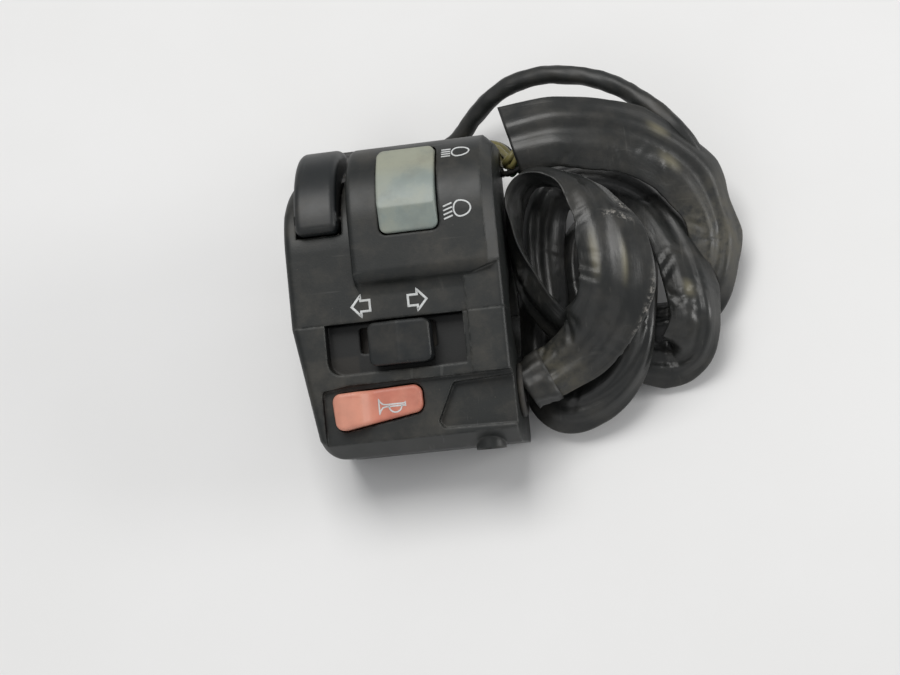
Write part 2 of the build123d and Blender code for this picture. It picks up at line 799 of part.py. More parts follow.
dimmer_half = (dimmer_left + dimmer_right) / 2
hub_half = dimmer_half - dimmer_skin - 2 * clear_gap - dimmer_ear
with BuildPart() as dimmer_button:
    with BuildSketch(across(-dimmer_left)):
        rocker_slice(0, dimmer_skirt)
    extrude(amount=2 * dimmer_half)
    fillet(dimmer_button.edges().filter_by(GeomType.LINE).group_by(up_the_face)[0]
           .filter_by(Axis.X), dimmer_skin / 2)
    sides = dimmer_button.faces().filter_by(Plane.YZ)
    fillet(sides.edges().group_by(out_of_face)[-1], dimmer_skin / 2)
    with BuildSketch(face(0)):
        with Locations((dimmer_middle, (dimmer_bottom + dimmer_top) / 2)):
            RectangleRounded(2 * dimmer_half, dimmer_top - dimmer_bottom, dimmer_corner)
    extrude(amount=2 * block_face, mode=Mode.INTERSECT)
    with BuildSketch(across(-dimmer_left + dimmer_skin)):
        rocker_slice(dimmer_skin, dimmer_skirt + overrun)
    extrude(amount=2 * (dimmer_half - dimmer_skin), mode=Mode.SUBTRACT)
    with BuildSketch(across(dimmer_middle - hub_half)):
        with Locations((dimmer_pivot_y, dimmer_pivot_z)):
            Circle(dimmer_hub_radius)
    extrude(amount=2 * hub_half)
    with BuildSketch(across(dimmer_middle - dimmer_hub_radius)):
        with Locations((dimmer_pivot_y, dimmer_pivot_z)):
            Rectangle(dimmer_hub_radius,
                      block_face + dimmer_proud - dimmer_skin / 3 - dimmer_pivot_z,
                      align=(Align.CENTER, Align.MIN))
    extrude(amount=2 * dimmer_hub_radius)
    with BuildSketch(face(dimmer_pivot_z - dimmer_stem_length)):
        with Locations((dimmer_middle, dimmer_pivot_y)):
            Circle(dimmer_stem_radius)
    extrude(amount=dimmer_stem_length)
    hollow_across(-dimmer_left + dimmer_skin, 2 * (dimmer_half - dimmer_skin),
                  dimmer_pivot_y, dimmer_pivot_z, dimmer_pin_radius + running_gap)
    with BuildSketch(face(dimmer_pivot_z - dimmer_stem_length)):
        with Locations((dimmer_middle, dimmer_pivot_y)):
            Circle(detent_bore)
    extrude(amount=dimmer_stem_length - dimmer_hub_radius, mode=Mode.SUBTRACT)
dimmer_button.part.label = "dimmer_button"
export_step(dimmer_button.part, "parts/dimmer_button.step")

ear_left = dimmer_middle - hub_half - clear_gap - dimmer_ear
ear_right = dimmer_middle + hub_half + clear_gap
with BuildPart() as dimmer_pivot_pin:
    with BuildSketch(across(ear_left)):
        with Locations((dimmer_pivot_y, dimmer_pivot_z)):
            Circle(dimmer_pin_radius)
    extrude(amount=ear_right + dimmer_ear - ear_left)
dimmer_pivot_pin.part.label = "dimmer_pivot_pin"
export_step(dimmer_pivot_pin.part, "parts/dimmer_pivot_pin.step")

base_front = dimmer_base_back + base_thickness
cam_radius = dimmer_ball_arm + ball_radius + clear_gap
with BuildPart() as dimmer_base:
    with BuildSketch(face(dimmer_base_back)) as base_plan:
        with Locations((dimmer_middle, dimmer_lug_y)):
            Rectangle(2 * dimmer_half, dimmer_base_top - dimmer_base_bottom)
            Rectangle(dimmer_lugs[1][0] - dimmer_lugs[0][0], lug_width)
        with Locations(*dimmer_lugs):
            Circle(lug_width / 2)
        with Locations(*dimmer_lugs):
            Circle(small_screw_radius + 2 * running_gap, mode=Mode.SUBTRACT)
    extrude(amount=base_thickness)
    for ear in (ear_left, ear_right):
        with BuildSketch(across(ear)):
            with Locations((dimmer_pivot_y, base_front)):
                Rectangle(dimmer_ear_width, dimmer_pivot_z - base_front,
                          align=(Align.CENTER, Align.MIN))
            with Locations((dimmer_pivot_y, dimmer_pivot_z)):
                Circle(dimmer_ear_reach)
        extrude(amount=dimmer_ear)
    hollow_across(ear_left, ear_right + dimmer_ear - ear_left,
                  dimmer_pivot_y, dimmer_pivot_z, dimmer_pin_radius + running_gap / 2)
    with BuildSketch(across(dimmer_middle - dimmer_stem_radius)):
        with Locations((dimmer_pivot_y, base_front)):
            Rectangle(2 * dimmer_ear_width * 3 / 4, dimmer_pivot_z - base_front - cam_radius
                      + dimmer_stem_radius, align=(Align.CENTER, Align.MIN))
        with Locations((dimmer_pivot_y, dimmer_pivot_z)):
            Circle(cam_radius, mode=Mode.SUBTRACT)
        for angle in (0, radians(dimmer_swing)):
            arm = dimmer_ball_arm + dimple_depth
            with Locations((dimmer_pivot_y - arm * sin(angle), dimmer_pivot_z - arm * cos(angle))):
                Circle(ball_radius + clear_gap, mode=Mode.SUBTRACT)
    extrude(amount=2 * dimmer_stem_radius)
dimmer_base.part.label = "dimmer_base"
export_step(dimmer_base.part, "parts/dimmer_base.step")

with BuildPart() as dimmer_base_screws:
    for x, y in dimmer_lugs:
        screw(face(base_front), x, y, small_screw_radius, small_screw_head, small_head_height,
              base_thickness + small_screw_length - small_head_height - clear_gap)
dimmer_base_screws.part.label = "dimmer_base_screws"
export_step(dimmer_base_screws.part, "parts/dimmer_base_screws.step")

ball_z = dimmer_pivot_z - dimmer_ball_arm
with BuildPart() as dimmer_ball:
    with Locations(place(dimmer_middle, dimmer_pivot_y, ball_z)):
        Sphere(ball_radius)
dimmer_ball.part.label = "dimmer_ball"
export_step(dimmer_ball.part, "parts/dimmer_ball.step")

face_way = Vector(0, -sin(lean), cos(lean))
up_way = Vector(0, cos(lean), sin(lean))
bar_way = Vector(1, 0, 0)
spring_seat = ball_z + ball_radius + spring_wire + clear_gap / 3
dimmer_spring = coil_spring(
    "dimmer_spring", place(dimmer_middle, dimmer_pivot_y, spring_seat), face_way, bar_way,
    detent_bore - spring_wire - clear_gap / 2,
    dimmer_pivot_z - dimmer_hub_radius - spring_wire - clear_gap / 3 - spring_seat, turns_dimmer)
export_step(dimmer_spring.part, "parts/dimmer_spring.step")

with BuildPart() as dimmer_terminals:
    with BuildSketch(face(base_front)):
        with Locations((dimmer_middle, dimmer_base_bottom + terminal_length / 2 + clear_gap)):
            with GridLocations(terminal_pitch, 0, 3, 1):
                Rectangle(terminal_width, terminal_length)
    extrude(amount=terminal_thickness)
dimmer_terminals.part.label = "dimmer_terminals"
export_step(dimmer_terminals.part, "parts/dimmer_terminals.step")


# Pass button: cap round the crown, pin, return spring, contact base and leaves
pass_plunger_y = pass_crown_y + pass_crown_radius * 4 / 9

def pass_slice(outer, inner, end, low):
    """A slice of the pass cap between two radii about its crown."""
    def on_ring(radius, y=None, z=None):
        if z is None:
            return (y, pass_crown_z + sqrt(radius ** 2 - (y - pass_crown_y) ** 2))
        return (pass_crown_y + sqrt(radius ** 2 - (z - pass_crown_z) ** 2), z)

    with BuildLine() as outline:
        high = (pass_crown_y + outer * cos(pi / 4), pass_crown_z + outer * sin(pi / 4))
        deep = (pass_crown_y + inner * cos(pi / 4), pass_crown_z + inner * sin(pi / 4))
        cap = ThreePointArc(on_ring(outer, z=end), high, on_ring(outer, y=low))
        under = ThreePointArc(on_ring(inner, y=low), deep, on_ring(inner, z=end))
        Line(cap @ 1, under @ 0)
        Line(under @ 1, cap @ 0)
    make_face(outline.line.edges())


with BuildPart() as pass_button:
    with BuildSketch(across(-pass_left)):
        pass_slice(pass_crown_radius, pass_crown_radius - pass_skirt, pass_front_end, pass_bottom)
    extrude(amount=pass_width)
    outer_edges = pass_button.edges().filter_by(Axis.X).sort_by(out_of_face)
    fillet(outer_edges[-1], pass_skin)
    fillet(pass_button.faces().filter_by(Plane.YZ).edges().filter_by(GeomType.CIRCLE)
           .filter_by(lambda edge: edge.radius > pass_crown_radius - pass_skin / 2), pass_edge)
    with BuildSketch(face(0)) as pass_plan:
        with Locations((pass_middle, pass_bottom)):
            Rectangle(pass_width, case_top, align=(Align.CENTER, Align.MIN))
        fillet(pass_plan.vertices().group_by(Axis.Y)[0], pass_corner)
    extrude(amount=2 * pass_crown_radius, mode=Mode.INTERSECT)
    with BuildSketch(across(-pass_left + pass_side)):
        pass_slice(pass_crown_radius - pass_skin, pass_crown_radius - pass_skirt - pass_skin,
                   pass_front_end + pass_skin, pass_bottom + pass_skin)
    extrude(amount=pass_width - 2 * pass_side, mode=Mode.SUBTRACT)
    with BuildSketch(across(-pass_left)):
        with Locations((pass_pivot_y, pass_pivot_z)):
            Circle(pass_hub_radius)
            Rectangle(pass_hub_radius, pass_crown_radius - pass_pivot_z + pass_crown_z - pass_skin / 2,
                      align=(Align.CENTER, Align.MIN))
    extrude(amount=pass_width)
    with BuildSketch(face(pass_plunger_end)):
        with Locations((pass_middle, pass_plunger_y)):
            Circle(pass_plunger_radius)
    extrude(until=Until.NEXT, target=pass_button.part)
    hollow_across(-pass_left, pass_width, pass_pivot_y, pass_pivot_z, pass_pin_radius + running_gap)
pass_button.part.label = "pass_button"
export_step(pass_button.part, "parts/pass_button.step")

with BuildPart() as pass_pivot_pin:
    with BuildSketch(across(-pass_left - window_gap - pass_ear)):
        with Locations((pass_pivot_y, pass_pivot_z)):
            Circle(pass_pin_radius)
    extrude(amount=pass_width + 2 * (window_gap + pass_ear))
pass_pivot_pin.part.label = "pass_pivot_pin"
export_step(pass_pivot_pin.part, "parts/pass_pivot_pin.step")

pass_base_front = back_inside + base_thickness
with BuildPart() as pass_base:
    with BuildSketch(face(back_inside)):
        with Locations((pass_middle, (pass_base_bottom + pass_base_top) / 2)):
            Rectangle(pass_width - 2 * pass_base_margin, pass_base_top - pass_base_bottom)
        with Locations((pass_middle, pass_screw_y)):
            Circle(small_screw_radius + 2 * running_gap, mode=Mode.SUBTRACT)
    extrude(amount=base_thickness)
pass_base.part.label = "pass_base"
export_step(pass_base.part, "parts/pass_base.step")

with BuildPart() as pass_base_screw:
    screw(face(pass_base_front), pass_middle, pass_screw_y, small_screw_radius, small_screw_head,
          small_head_height, base_thickness + wall / 2)
pass_base_screw.part.label = "pass_base_screw"
export_step(pass_base_screw.part, "parts/pass_base_screw.step")

pass_spring = coil_spring(
    "pass_spring", place(pass_middle, pass_plunger_y, pass_base_front + spring_wire + running_gap),
    face_way, bar_way, pass_spring_radius,
    pass_plunger_end - pass_base_front - 2 * (spring_wire + running_gap), turns_pass)
export_step(pass_spring.part, "parts/pass_spring.step")

with BuildPart() as pass_contacts:
    for side in (-leaf_spread, leaf_spread):
        with BuildSketch(across(pass_middle + side - leaf_width / 2)):
            with BuildLine() as leaf:
                foot = pass_screw_y + small_screw_head
                Polyline((foot, pass_base_front), (foot + leaf_length / 3, pass_base_front),
                         (foot + leaf_length, pass_base_front + leaf_rise),
                         (foot + leaf_length, pass_base_front + leaf_rise + leaf_thickness),
                         (foot + leaf_length / 3 - leaf_thickness / 2,
                          pass_base_front + leaf_thickness),
                         (foot, pass_base_front + leaf_thickness), close=True)
            make_face(leaf.line.edges())
        extrude(amount=leaf_width)
pass_contacts.part.label = "pass_contacts"
export_step(pass_contacts.part, "parts/pass_contacts.step")

# Turn signal switch: knob, carriage, contact base, screws, wiper and springs
knob_ridge = knob_edge + knob_ridge_rise
knob_ceiling = knob_edge - knob_roof
with BuildPart() as turn_knob:
    with BuildSketch(ahead(-knob_middle + knob_height / 2)) as knob_slice:
        with BuildLine() as knob_outline:
            Polyline((-knob_width / 2, knob_bottom), (-knob_width / 2, knob_edge),
                     (0, knob_ridge), (knob_width / 2, knob_edge),
                     (knob_width / 2, knob_bottom), close=True)
        make_face(knob_outline.line.edges())
    extrude(amount=knob_height)
    fillet(turn_knob.edges().filter_by(out_of_face), knob_corner)
    fillet(turn_knob.faces().sort_by(out_of_face)[-2:].edges() - turn_knob.edges()
           .filter_by(up_the_face).sort_by(out_of_face)[-1:], knob_rim)
    with BuildSketch(face(knob_bottom)):
        with Locations((0, -knob_middle)):
            Rectangle(knob_width - 2 * knob_skin, knob_height - 2 * knob_skin)
    extrude(amount=knob_ceiling - knob_bottom, mode=Mode.SUBTRACT)
    with BuildSketch(face(knob_stem_end)):
        with Locations((0, -stalk_y)):
            Rectangle(knob_stem_x, knob_stem_y)
    extrude(amount=knob_ceiling + knob_rim - knob_stem_end)
turn_knob.part.label = "turn_knob"
export_step(turn_knob.part, "parts/turn_knob.step")

sleeve_x = knob_stem_x + 2 * (clear_gap + sleeve_wall)
sleeve_y = knob_stem_y + 2 * (clear_gap + sleeve_wall)
carriage_back = inner_face - clear_gap - carriage_thickness
with BuildPart() as turn_slider:
    with BuildSketch(face(carriage_back)):
        with Locations((0, -(carriage_top_edge + carriage_bottom_edge) / 2)):
            Rectangle(2 * carriage_half, carriage_bottom_edge - carriage_top_edge)
        for side in (-1, 1):
            with Locations((side * (tab_inner + tab_thickness / 2), -carriage_bottom_edge)):
                Rectangle(tab_thickness, tab_reach, align=(Align.CENTER, Align.MAX))
    extrude(amount=carriage_thickness)
    with BuildSketch(face(carriage_back)):
        with Locations((0, -stalk_y)):
            Rectangle(sleeve_x, sleeve_y)
    extrude(amount=sleeve_top - carriage_back)
    with BuildSketch(face(carriage_back)):
        with Locations((0, -stalk_y)):
            Rectangle(knob_stem_x + 2 * clear_gap, knob_stem_y + 2 * clear_gap)
    extrude(amount=sleeve_top, mode=Mode.SUBTRACT)
turn_slider.part.label = "turn_slider"
export_step(turn_slider.part, "parts/turn_slider.step")

with BuildPart() as turn_base:
    with BuildSketch(face(turn_base_face)) as turn_plan:
        with Locations(((turn_base_right - turn_base_left) / 2, -carriage_top_edge)):
            Rectangle(turn_base_left + turn_base_right, turn_base_bottom - carriage_top_edge,
                      align=(Align.CENTER, Align.MAX))
        with Locations(*turn_posts):
            Circle(turn_post_radius)
            Circle(small_screw_radius + 2 * running_gap, mode=Mode.SUBTRACT)
    extrude(amount=-turn_base_thickness)
    with BuildSketch(face(turn_base_face)):
        for side in (-1, 1):
            with Locations((side * (tab_inner + tab_thickness / 2), -stop_top)):
                Rectangle(tab_thickness, stop_bottom - stop_top, align=(Align.CENTER, Align.MAX))
    extrude(amount=carriage_back + carriage_thickness - turn_base_face)
turn_base.part.label = "turn_base"
export_step(turn_base.part, "parts/turn_base.step")

with BuildPart() as turn_base_screws:
    for x, y in turn_posts:
        back_plane = face(turn_base_face - turn_base_thickness)
        screw(Plane(back_plane.origin, x_dir=back_plane.x_dir, z_dir=-back_plane.z_dir),
              x, -y, small_screw_radius, small_screw_head, small_head_height,
              turn_base_thickness + small_screw_length - clear_gap)
turn_base_screws.part.label = "turn_base_screws"
export_step(turn_base_screws.part, "parts/turn_base_screws.step")

with BuildPart() as turn_wiper:
    with BuildSketch(face(carriage_back)):
        with Locations((0, -carriage_bottom_edge + wiper_width)):
            Rectangle(wiper_length, wiper_width)
    extrude(amount=-wiper_thickness)
turn_wiper.part.label = "turn_wiper"
export_step(turn_wiper.part, "parts/turn_wiper.step")

cancel_spring = coil_spring(
    "cancel_spring", place(0, -stalk_y, sleeve_top + spring_wire + running_gap), face_way,
    bar_way, cancel_spring_radius,
    knob_ceiling - sleeve_top - 2 * (spring_wire + running_gap), turns_cancel)
export_step(cancel_spring.part, "parts/cancel_spring.step")

centring_spring = coil_spring(
    "centring_spring",
    place(-tab_inner + spring_wire + running_gap, -centring_spring_y, centring_spring_z),
    bar_way, up_way, centring_spring_radius,
    2 * (tab_inner - spring_wire - running_gap), turns_centring)
export_step(centring_spring.part, "parts/centring_spring.step")


# Horn switch: button, bridge, contact base, contacts, screws and spring

def horn_plan(grow=0):
    """The horn button's outline, grown or shrunk by grow."""
    with BuildLine() as edge:
        Polyline(*horn_corners, close=True)
    make_face(edge.line.edges())
    fillet(vertices(), horn_corner_radius)
    if grow:
        offset(amount=grow)


horn_left_end, horn_right_end = horn_corners[0][0], horn_corners[1][0]
with BuildPart() as horn_button:
    with BuildSketch(face(horn_bottom)):
        horn_plan()
    extrude(amount=horn_raised + overrun - horn_bottom)
    with BuildSketch(ahead(horn_corners[1][1] + overrun)):
        with BuildLine() as horn_profile:
            flat = Line((horn_right_end + overrun, horn_flat), (horn_rise_start, horn_flat))
            half_way = ((horn_rise_start + horn_rise_end) / 2, (horn_flat + horn_raised) / 2)
            climb = TangentArc(flat @ 1, half_way, tangent=(-1, 0))
            settle = TangentArc(half_way, (horn_rise_end, horn_raised), tangent=climb % 1)
            crest = Line(settle @ 1, (horn_left_end + horn_round, horn_raised))
            drop = RadiusArc(crest @ 1, (horn_left_end, horn_raised - horn_round), -horn_round)
            Polyline(drop @ 1, (horn_left_end - overrun, horn_raised - horn_round),
                     (horn_left_end - overrun, horn_bottom),
                     (horn_right_end + overrun, horn_bottom), flat @ 0)
        make_face(horn_profile.line.edges())
    extrude(amount=case_bottom, mode=Mode.INTERSECT)
    horn_rim = horn_button.edges().filter_by_position(
        out_of_face, horn_flat - horn_edge_radius, horn_raised + overrun)
    fillet(horn_rim - horn_button.edges().filter_by(up_the_face), horn_edge_radius)
    with BuildSketch(face(horn_bottom)):
        horn_plan(horn_flange_out)
    extrude(amount=horn_flange)
    with BuildSketch(face(horn_bottom)):
        with Locations((horn_axis_x, horn_axis_y)):
            Circle(horn_stem_radius)
    extrude(amount=horn_stem_end - horn_bottom)
horn_button.part.label = "horn_button"
export_step(horn_button.part, "parts/horn_button.step")

with BuildPart() as horn_bridge:
    with BuildSketch(face(horn_stem_end)):
        with Locations((horn_axis_x, horn_axis_y)):
            SlotOverall(bridge_length, bridge_width)
    extrude(amount=-bridge_thickness)
horn_bridge.part.label = "horn_bridge"
export_step(horn_bridge.part, "parts/horn_bridge.step")

with BuildPart() as horn_base:
    with BuildSketch(face(horn_base_face)):
        with Locations(((horn_base_right - horn_base_left) / 2, -horn_base_low)):
            Rectangle(horn_base_left + horn_base_right, horn_base_low - horn_base_high,
                      align=(Align.CENTER, Align.MIN))
        with Locations(*horn_posts):
            Circle(small_screw_radius + 2 * running_gap, mode=Mode.SUBTRACT)
    extrude(amount=-turn_base_thickness)
horn_base.part.label = "horn_base"
export_step(horn_base.part, "parts/horn_base.step")

with BuildPart() as horn_base_screws:
    for x, y in horn_posts:
        back_plane = face(horn_base_face - turn_base_thickness)
        screw(Plane(back_plane.origin, x_dir=back_plane.x_dir, z_dir=-back_plane.z_dir),
              x, -y, small_screw_radius, small_screw_head, small_head_height,
              turn_base_thickness + small_screw_length - clear_gap)
horn_base_screws.part.label = "horn_base_screws"
export_step(horn_base_screws.part, "parts/horn_base_screws.step")

with BuildPart() as horn_contacts:
    with BuildSketch(face(horn_base_face)):
        with Locations((horn_axis_x - contact_spread, horn_axis_y),
                       (horn_axis_x + contact_spread, horn_axis_y)):
            Circle(contact_radius)
    extrude(amount=contact_height)
horn_contacts.part.label = "horn_contacts"
export_step(horn_contacts.part, "parts/horn_contacts.step")

horn_spring_height = horn_stem_end - bridge_thickness - horn_base_face
horn_spring = coil_spring(
    "horn_spring",
    place(horn_axis_x, horn_axis_y, horn_base_face + spring_wire + running_gap), face_way,
    bar_way, horn_spring_radius, horn_spring_height - 2 * (spring_wire + running_gap), turns_horn)
export_step(horn_spring.part, "parts/horn_spring.step")

# Harness exit: grommet, wire bundle, clip and its screw
with BuildPart() as grommet:
    for start, length, radius in ((case_right, grommet_out, grommet_flange),
                                  (case_right - wall, wall, grommet_hole - running_gap),
                                  (case_right - wall - grommet_in, grommet_in,
                                   grommet_flange - running_gap * 4)):
        with BuildSketch(across(start)):
            with Locations((exit_y, exit_z)):
                Circle(radius)
        extrude(amount=length)
    hollow_across(case_right - wall - grommet_in, wall + grommet_in + grommet_out,
                  exit_y, exit_z, grommet_bore)
grommet.part.label = "grommet"
export_step(grommet.part, "parts/grommet.step")

with BuildPart() as harness_core:
    with BuildSketch(across(core_end)):
        with Locations((exit_y, exit_z)):
            Circle(core_radius)
    extrude(amount=case_right + grommet_out - core_end)
harness_core.part.label = "harness_core"
export_step(harness_core.part, "parts/harness_core.step")

clip_outer = core_radius + running_gap + clip_band
with BuildPart() as harness_clip:
    with BuildSketch(across(clip_x - clip_width / 2)):
        with Locations((exit_y, exit_z)):
            Circle(clip_outer)
        with Locations((exit_y, clip_face)):
            Rectangle(clip_ear + small_screw_head, clip_band, align=(Align.MAX, Align.MIN))
        with Locations((exit_y, exit_z)):
            Circle(core_radius + running_gap, mode=Mode.SUBTRACT)
    extrude(amount=clip_width)
    with BuildSketch(face(clip_face)):
        with Locations((clip_x, clip_screw_y)):
            Circle(small_screw_radius + 2 * running_gap)
    extrude(amount=clip_band, mode=Mode.SUBTRACT)
harness_clip.part.label = "harness_clip"
export_step(harness_clip.part, "parts/harness_clip.step")

with BuildPart() as clip_screw:
    screw(face(clip_face + clip_band), clip_x, clip_screw_y, small_screw_radius,
          small_screw_head, small_head_height, clip_band + clip_screw_length - clear_gap)
clip_screw.part.label = "clip_screw"
export_step(clip_screw.part, "parts/clip_screw.step")

# Harness sheath: one unbroken tube laid in four loose turns, with the point list worked out
# from where each turn reaches furthest right, back, left and forward

def laid_turns(begin, rights, backs, lefts, fronts):
    """Points and directions of a cord laid in turns, each point a quarter turn on."""
    spots = [(begin, bar_way)]
    for turn, (right, back) in enumerate(zip(rights, backs)):
        if turn:
            spots.append((Vector(*fronts[turn - 1]), bar_way))
        spots.append((Vector(*right), table_way))
        spots.append((Vector(*back), -bar_way))
        if turn < len(lefts):
            spots.append((Vector(*lefts[turn]), -table_way))
    knots = [spots[0]]
    for (before, _), (here, way), (after, _) in zip(spots, spots[1:], spots[2:]):
        plan = (hypot(here.X - before.X, here.Y - before.Y)
                + hypot(after.X - here.X, after.Y - here.Y))
        on_table = here.Z < sheath_floor + floor_gap
        climb = 0 if on_table else (after.Z - before.Z) / plan * turn_climb_share
        knots.append((here, (way + Vector(0, 0, climb)).normalized()))
    return knots + [spots[-1]]


def least_gap(curve, radius, skip):
    """The least clear distance of a tube to itself, leaving out its own near neighbours."""
    points, run, reached = [], [], 0
    for edge in curve.edges():
        for step in range(samples_per_arc):
            points.append(edge.position_at(step / samples_per_arc))
            run.append(reached + edge.length * step / samples_per_arc)
        reached += edge.length
    return min((points[i] - points[j]).length for i in range(len(points))
               for j in range(i) if run[i] - run[j] > skip) - 2 * radius


table_way = Vector(0, 1, 0)
sheath_floor = table + sheath_radius + floor_gap
exit_point = place(case_right + grommet_out, exit_y, exit_z)
first_knot = exit_point + bar_way * 2 * sheath_radius
turn_lefts_set = [(x, y, max(z, sheath_floor)) for x, y, z in turn_lefts]
turn_fronts_set = [(x, y, max(z, sheath_floor)) for x, y, z in turn_fronts]
with BuildPart() as harness_coil:
    with BuildLine() as sheath_path:
        Line(exit_point, first_knot)
        wind(laid_turns(first_knot, turn_rights, turn_backs, turn_lefts_set, turn_fronts_set))
        last_knot = Vector(*turn_backs[-1])
        sheath_end = last_knot - bar_way * sheath_tail
        Line(last_knot, sheath_end)
    with BuildSketch(Plane(origin=exit_point, z_dir=bar_way)):
        Circle(sheath_radius)
    sweep(path=sheath_path.line)
harness_coil.part.label = "harness_coil"
export_step(harness_coil.part, "parts/harness_coil.step")
sheath_length = sum(edge.length for edge in sheath_path.edges())
arc_radii = [edge.radius for edge in sheath_path.line.edges() if edge.geom_type == GeomType.CIRCLE]
print("harness_coil length", round(sheath_length, 1), "least gap",
      round(least_gap(sheath_path.line, sheath_radius, 6 * sheath_radius), 2), "smallest radius",
      round(min(arc_radii), 2), "volume ratio",
      round(harness_coil.part.volume / (pi * sheath_radius ** 2 * sheath_length), 4))

# Wires from the sheath's end and from its side branch, with their connectors
main_wires = cord("main_wires", [sheath_end] + [Vector(*point) for point in main_wire_points],
                  main_wire_radius)
export_step(main_wires.part, "parts/main_wires.step")

branch_lead = cord("branch_lead", [Vector(*point) for point in branch_points], branch_radius)
export_step(branch_lead.part, "parts/branch_lead.step")


def connector(face_point, length, width, height, mouth, lug):
    """A connector body on the table: a mouth open to the left and a latch on top."""
    right, middle = face_point[0], face_point[1]
    with BuildSketch(Plane(origin=(right - length, middle, table), x_dir=(0, 1, 0),
                           z_dir=(1, 0, 0))) as body:
        Rectangle(width, height, align=(Align.CENTER, Align.MIN))
        fillet(body.vertices(), connector_corner)
    extrude(body.sketch, amount=length)
    with BuildSketch(Plane(origin=(right - length, middle, table + height), x_dir=(0, 1, 0),
                           z_dir=(1, 0, 0))) as latch:
        Rectangle(lug, connector_wall, align=(Align.CENTER, Align.CENTER))
    extrude(latch.sketch, amount=length / 2)
    with BuildSketch(Plane(origin=(right - length, middle, table + connector_wall),
                           x_dir=(0, 1, 0), z_dir=(1, 0, 0))) as hollow_mouth:
        Rectangle(width - 2 * connector_wall, height - 2 * connector_wall,
                  align=(Align.CENTER, Align.MIN))
    extrude(hollow_mouth.sketch, amount=mouth, mode=Mode.SUBTRACT)


def pins(face_point, length, height, mouth, columns, rows):
    """Blade contacts that stand in a connector's mouth."""
    right, middle = face_point[0], face_point[1]
    with BuildSketch(Plane(origin=(right - length + mouth, middle, table + height / 2),
                           x_dir=(0, 1, 0), z_dir=(-1, 0, 0))) as blades:
        with GridLocations(pin_pitch, pin_pitch, columns, rows):
            Rectangle(pin_width, pin_thickness)
    extrude(blades.sketch, amount=mouth / 2)


with BuildPart() as main_connector:
    connector(main_wire_points[-1], main_connector_length, main_connector_width,
              main_connector_height, main_mouth, main_connector_width / 3)
main_connector.part.label = "main_connector"
export_step(main_connector.part, "parts/main_connector.step")

with BuildPart() as main_pins:
    pins(main_wire_points[-1], main_connector_length, main_connector_height, main_mouth, 4, 2)
main_pins.part.label = "main_pins"
export_step(main_pins.part, "parts/main_pins.step")

with BuildPart() as branch_connector:
    connector(branch_points[-1], branch_connector_length, branch_connector_width,
              branch_connector_height, branch_mouth, branch_connector_width / 2)
branch_connector.part.label = "branch_connector"
export_step(branch_connector.part, "parts/branch_connector.step")

with BuildPart() as branch_pins:
    pins(branch_points[-1], branch_connector_length, branch_connector_height, branch_mouth, 2, 1)
branch_pins.part.label = "branch_pins"
export_step(branch_pins.part, "parts/branch_pins.step")
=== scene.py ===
"""Dresses the left hand switch cluster: its worn black housing, its buttons with their printed
signs, and the flattened vinyl sheath that lies beside it in loose turns."""
import json
import math
import random

import bmesh
import bpy
from mathutils import Matrix, Vector, noise
from mathutils.bvhtree import BVHTree


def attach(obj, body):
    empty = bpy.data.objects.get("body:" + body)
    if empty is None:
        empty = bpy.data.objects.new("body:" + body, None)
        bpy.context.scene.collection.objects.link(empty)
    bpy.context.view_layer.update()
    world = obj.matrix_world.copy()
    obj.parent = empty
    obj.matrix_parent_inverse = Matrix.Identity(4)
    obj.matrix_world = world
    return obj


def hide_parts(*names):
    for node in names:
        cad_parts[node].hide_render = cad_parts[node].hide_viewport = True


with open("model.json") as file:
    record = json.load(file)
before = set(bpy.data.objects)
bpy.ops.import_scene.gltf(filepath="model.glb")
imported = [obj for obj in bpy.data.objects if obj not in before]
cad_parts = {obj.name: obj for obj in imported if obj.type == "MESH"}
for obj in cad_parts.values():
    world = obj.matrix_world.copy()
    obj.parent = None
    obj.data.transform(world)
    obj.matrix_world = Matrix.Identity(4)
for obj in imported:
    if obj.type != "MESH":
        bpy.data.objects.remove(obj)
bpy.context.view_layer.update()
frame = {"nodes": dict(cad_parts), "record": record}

bl_info = {
    "name": "Handlebar Switch Cluster",
    "version": (1, 0, 0),
    "blender": (4, 5, 0),
    "location": "View3D > Sidebar > Switch cluster",
    "description": "Dresses a left hand handlebar switch cluster and its harness",
    "category": "Object",
}

NODES = frame["nodes"]
MM = 0.001
TABLE_Z = -18.5 * MM
LEAN = math.radians(20)
# Turns a point of the leaning housing (along the bar, up the face, out of it) into the
# table's frame
HOUSING = Matrix.Rotation(LEAN, 4, "X")


# Sizes and colours a user would change

class HarnessSizes(bpy.types.PropertyGroup):
    sheath_width: bpy.props.FloatProperty(
        name="Sheath width", description="Usual width of the flattened vinyl sheath",
        default=0.0142, min=0.005, unit="LENGTH")
    width_share: bpy.props.FloatProperty(
        name="Width share", description="Share of its own width that the sheath has all along",
        default=1.0, min=0.2, max=1.3, subtype="FACTOR")
    thickness_share: bpy.props.FloatProperty(
        name="Thickness share", description="Share of its own thickness that the sheath has",
        default=1.0, min=0.2, max=1.3, subtype="FACTOR")
    wrinkle: bpy.props.FloatProperty(
        name="Wrinkle depth", description="How deep the sheath's folds are in the tight bends",
        default=0.0007, min=0.0, unit="LENGTH")
    wire_diameter: bpy.props.FloatProperty(
        name="Wire diameter", description="Diameter of one wire of the harness",
        default=0.0016, min=0.0005, unit="LENGTH")
    branch_diameter: bpy.props.FloatProperty(
        name="Branch diameter", description="Diameter of the side branch in its thin sleeve",
        default=0.0050, min=0.002, unit="LENGTH")


def colour_setting(label, description, default):
    """A colour that the sidebar shows."""
    return bpy.props.FloatVectorProperty(
        name=label, description=description, subtype="COLOR", size=3, min=0.0, max=1.0,
        default=default)


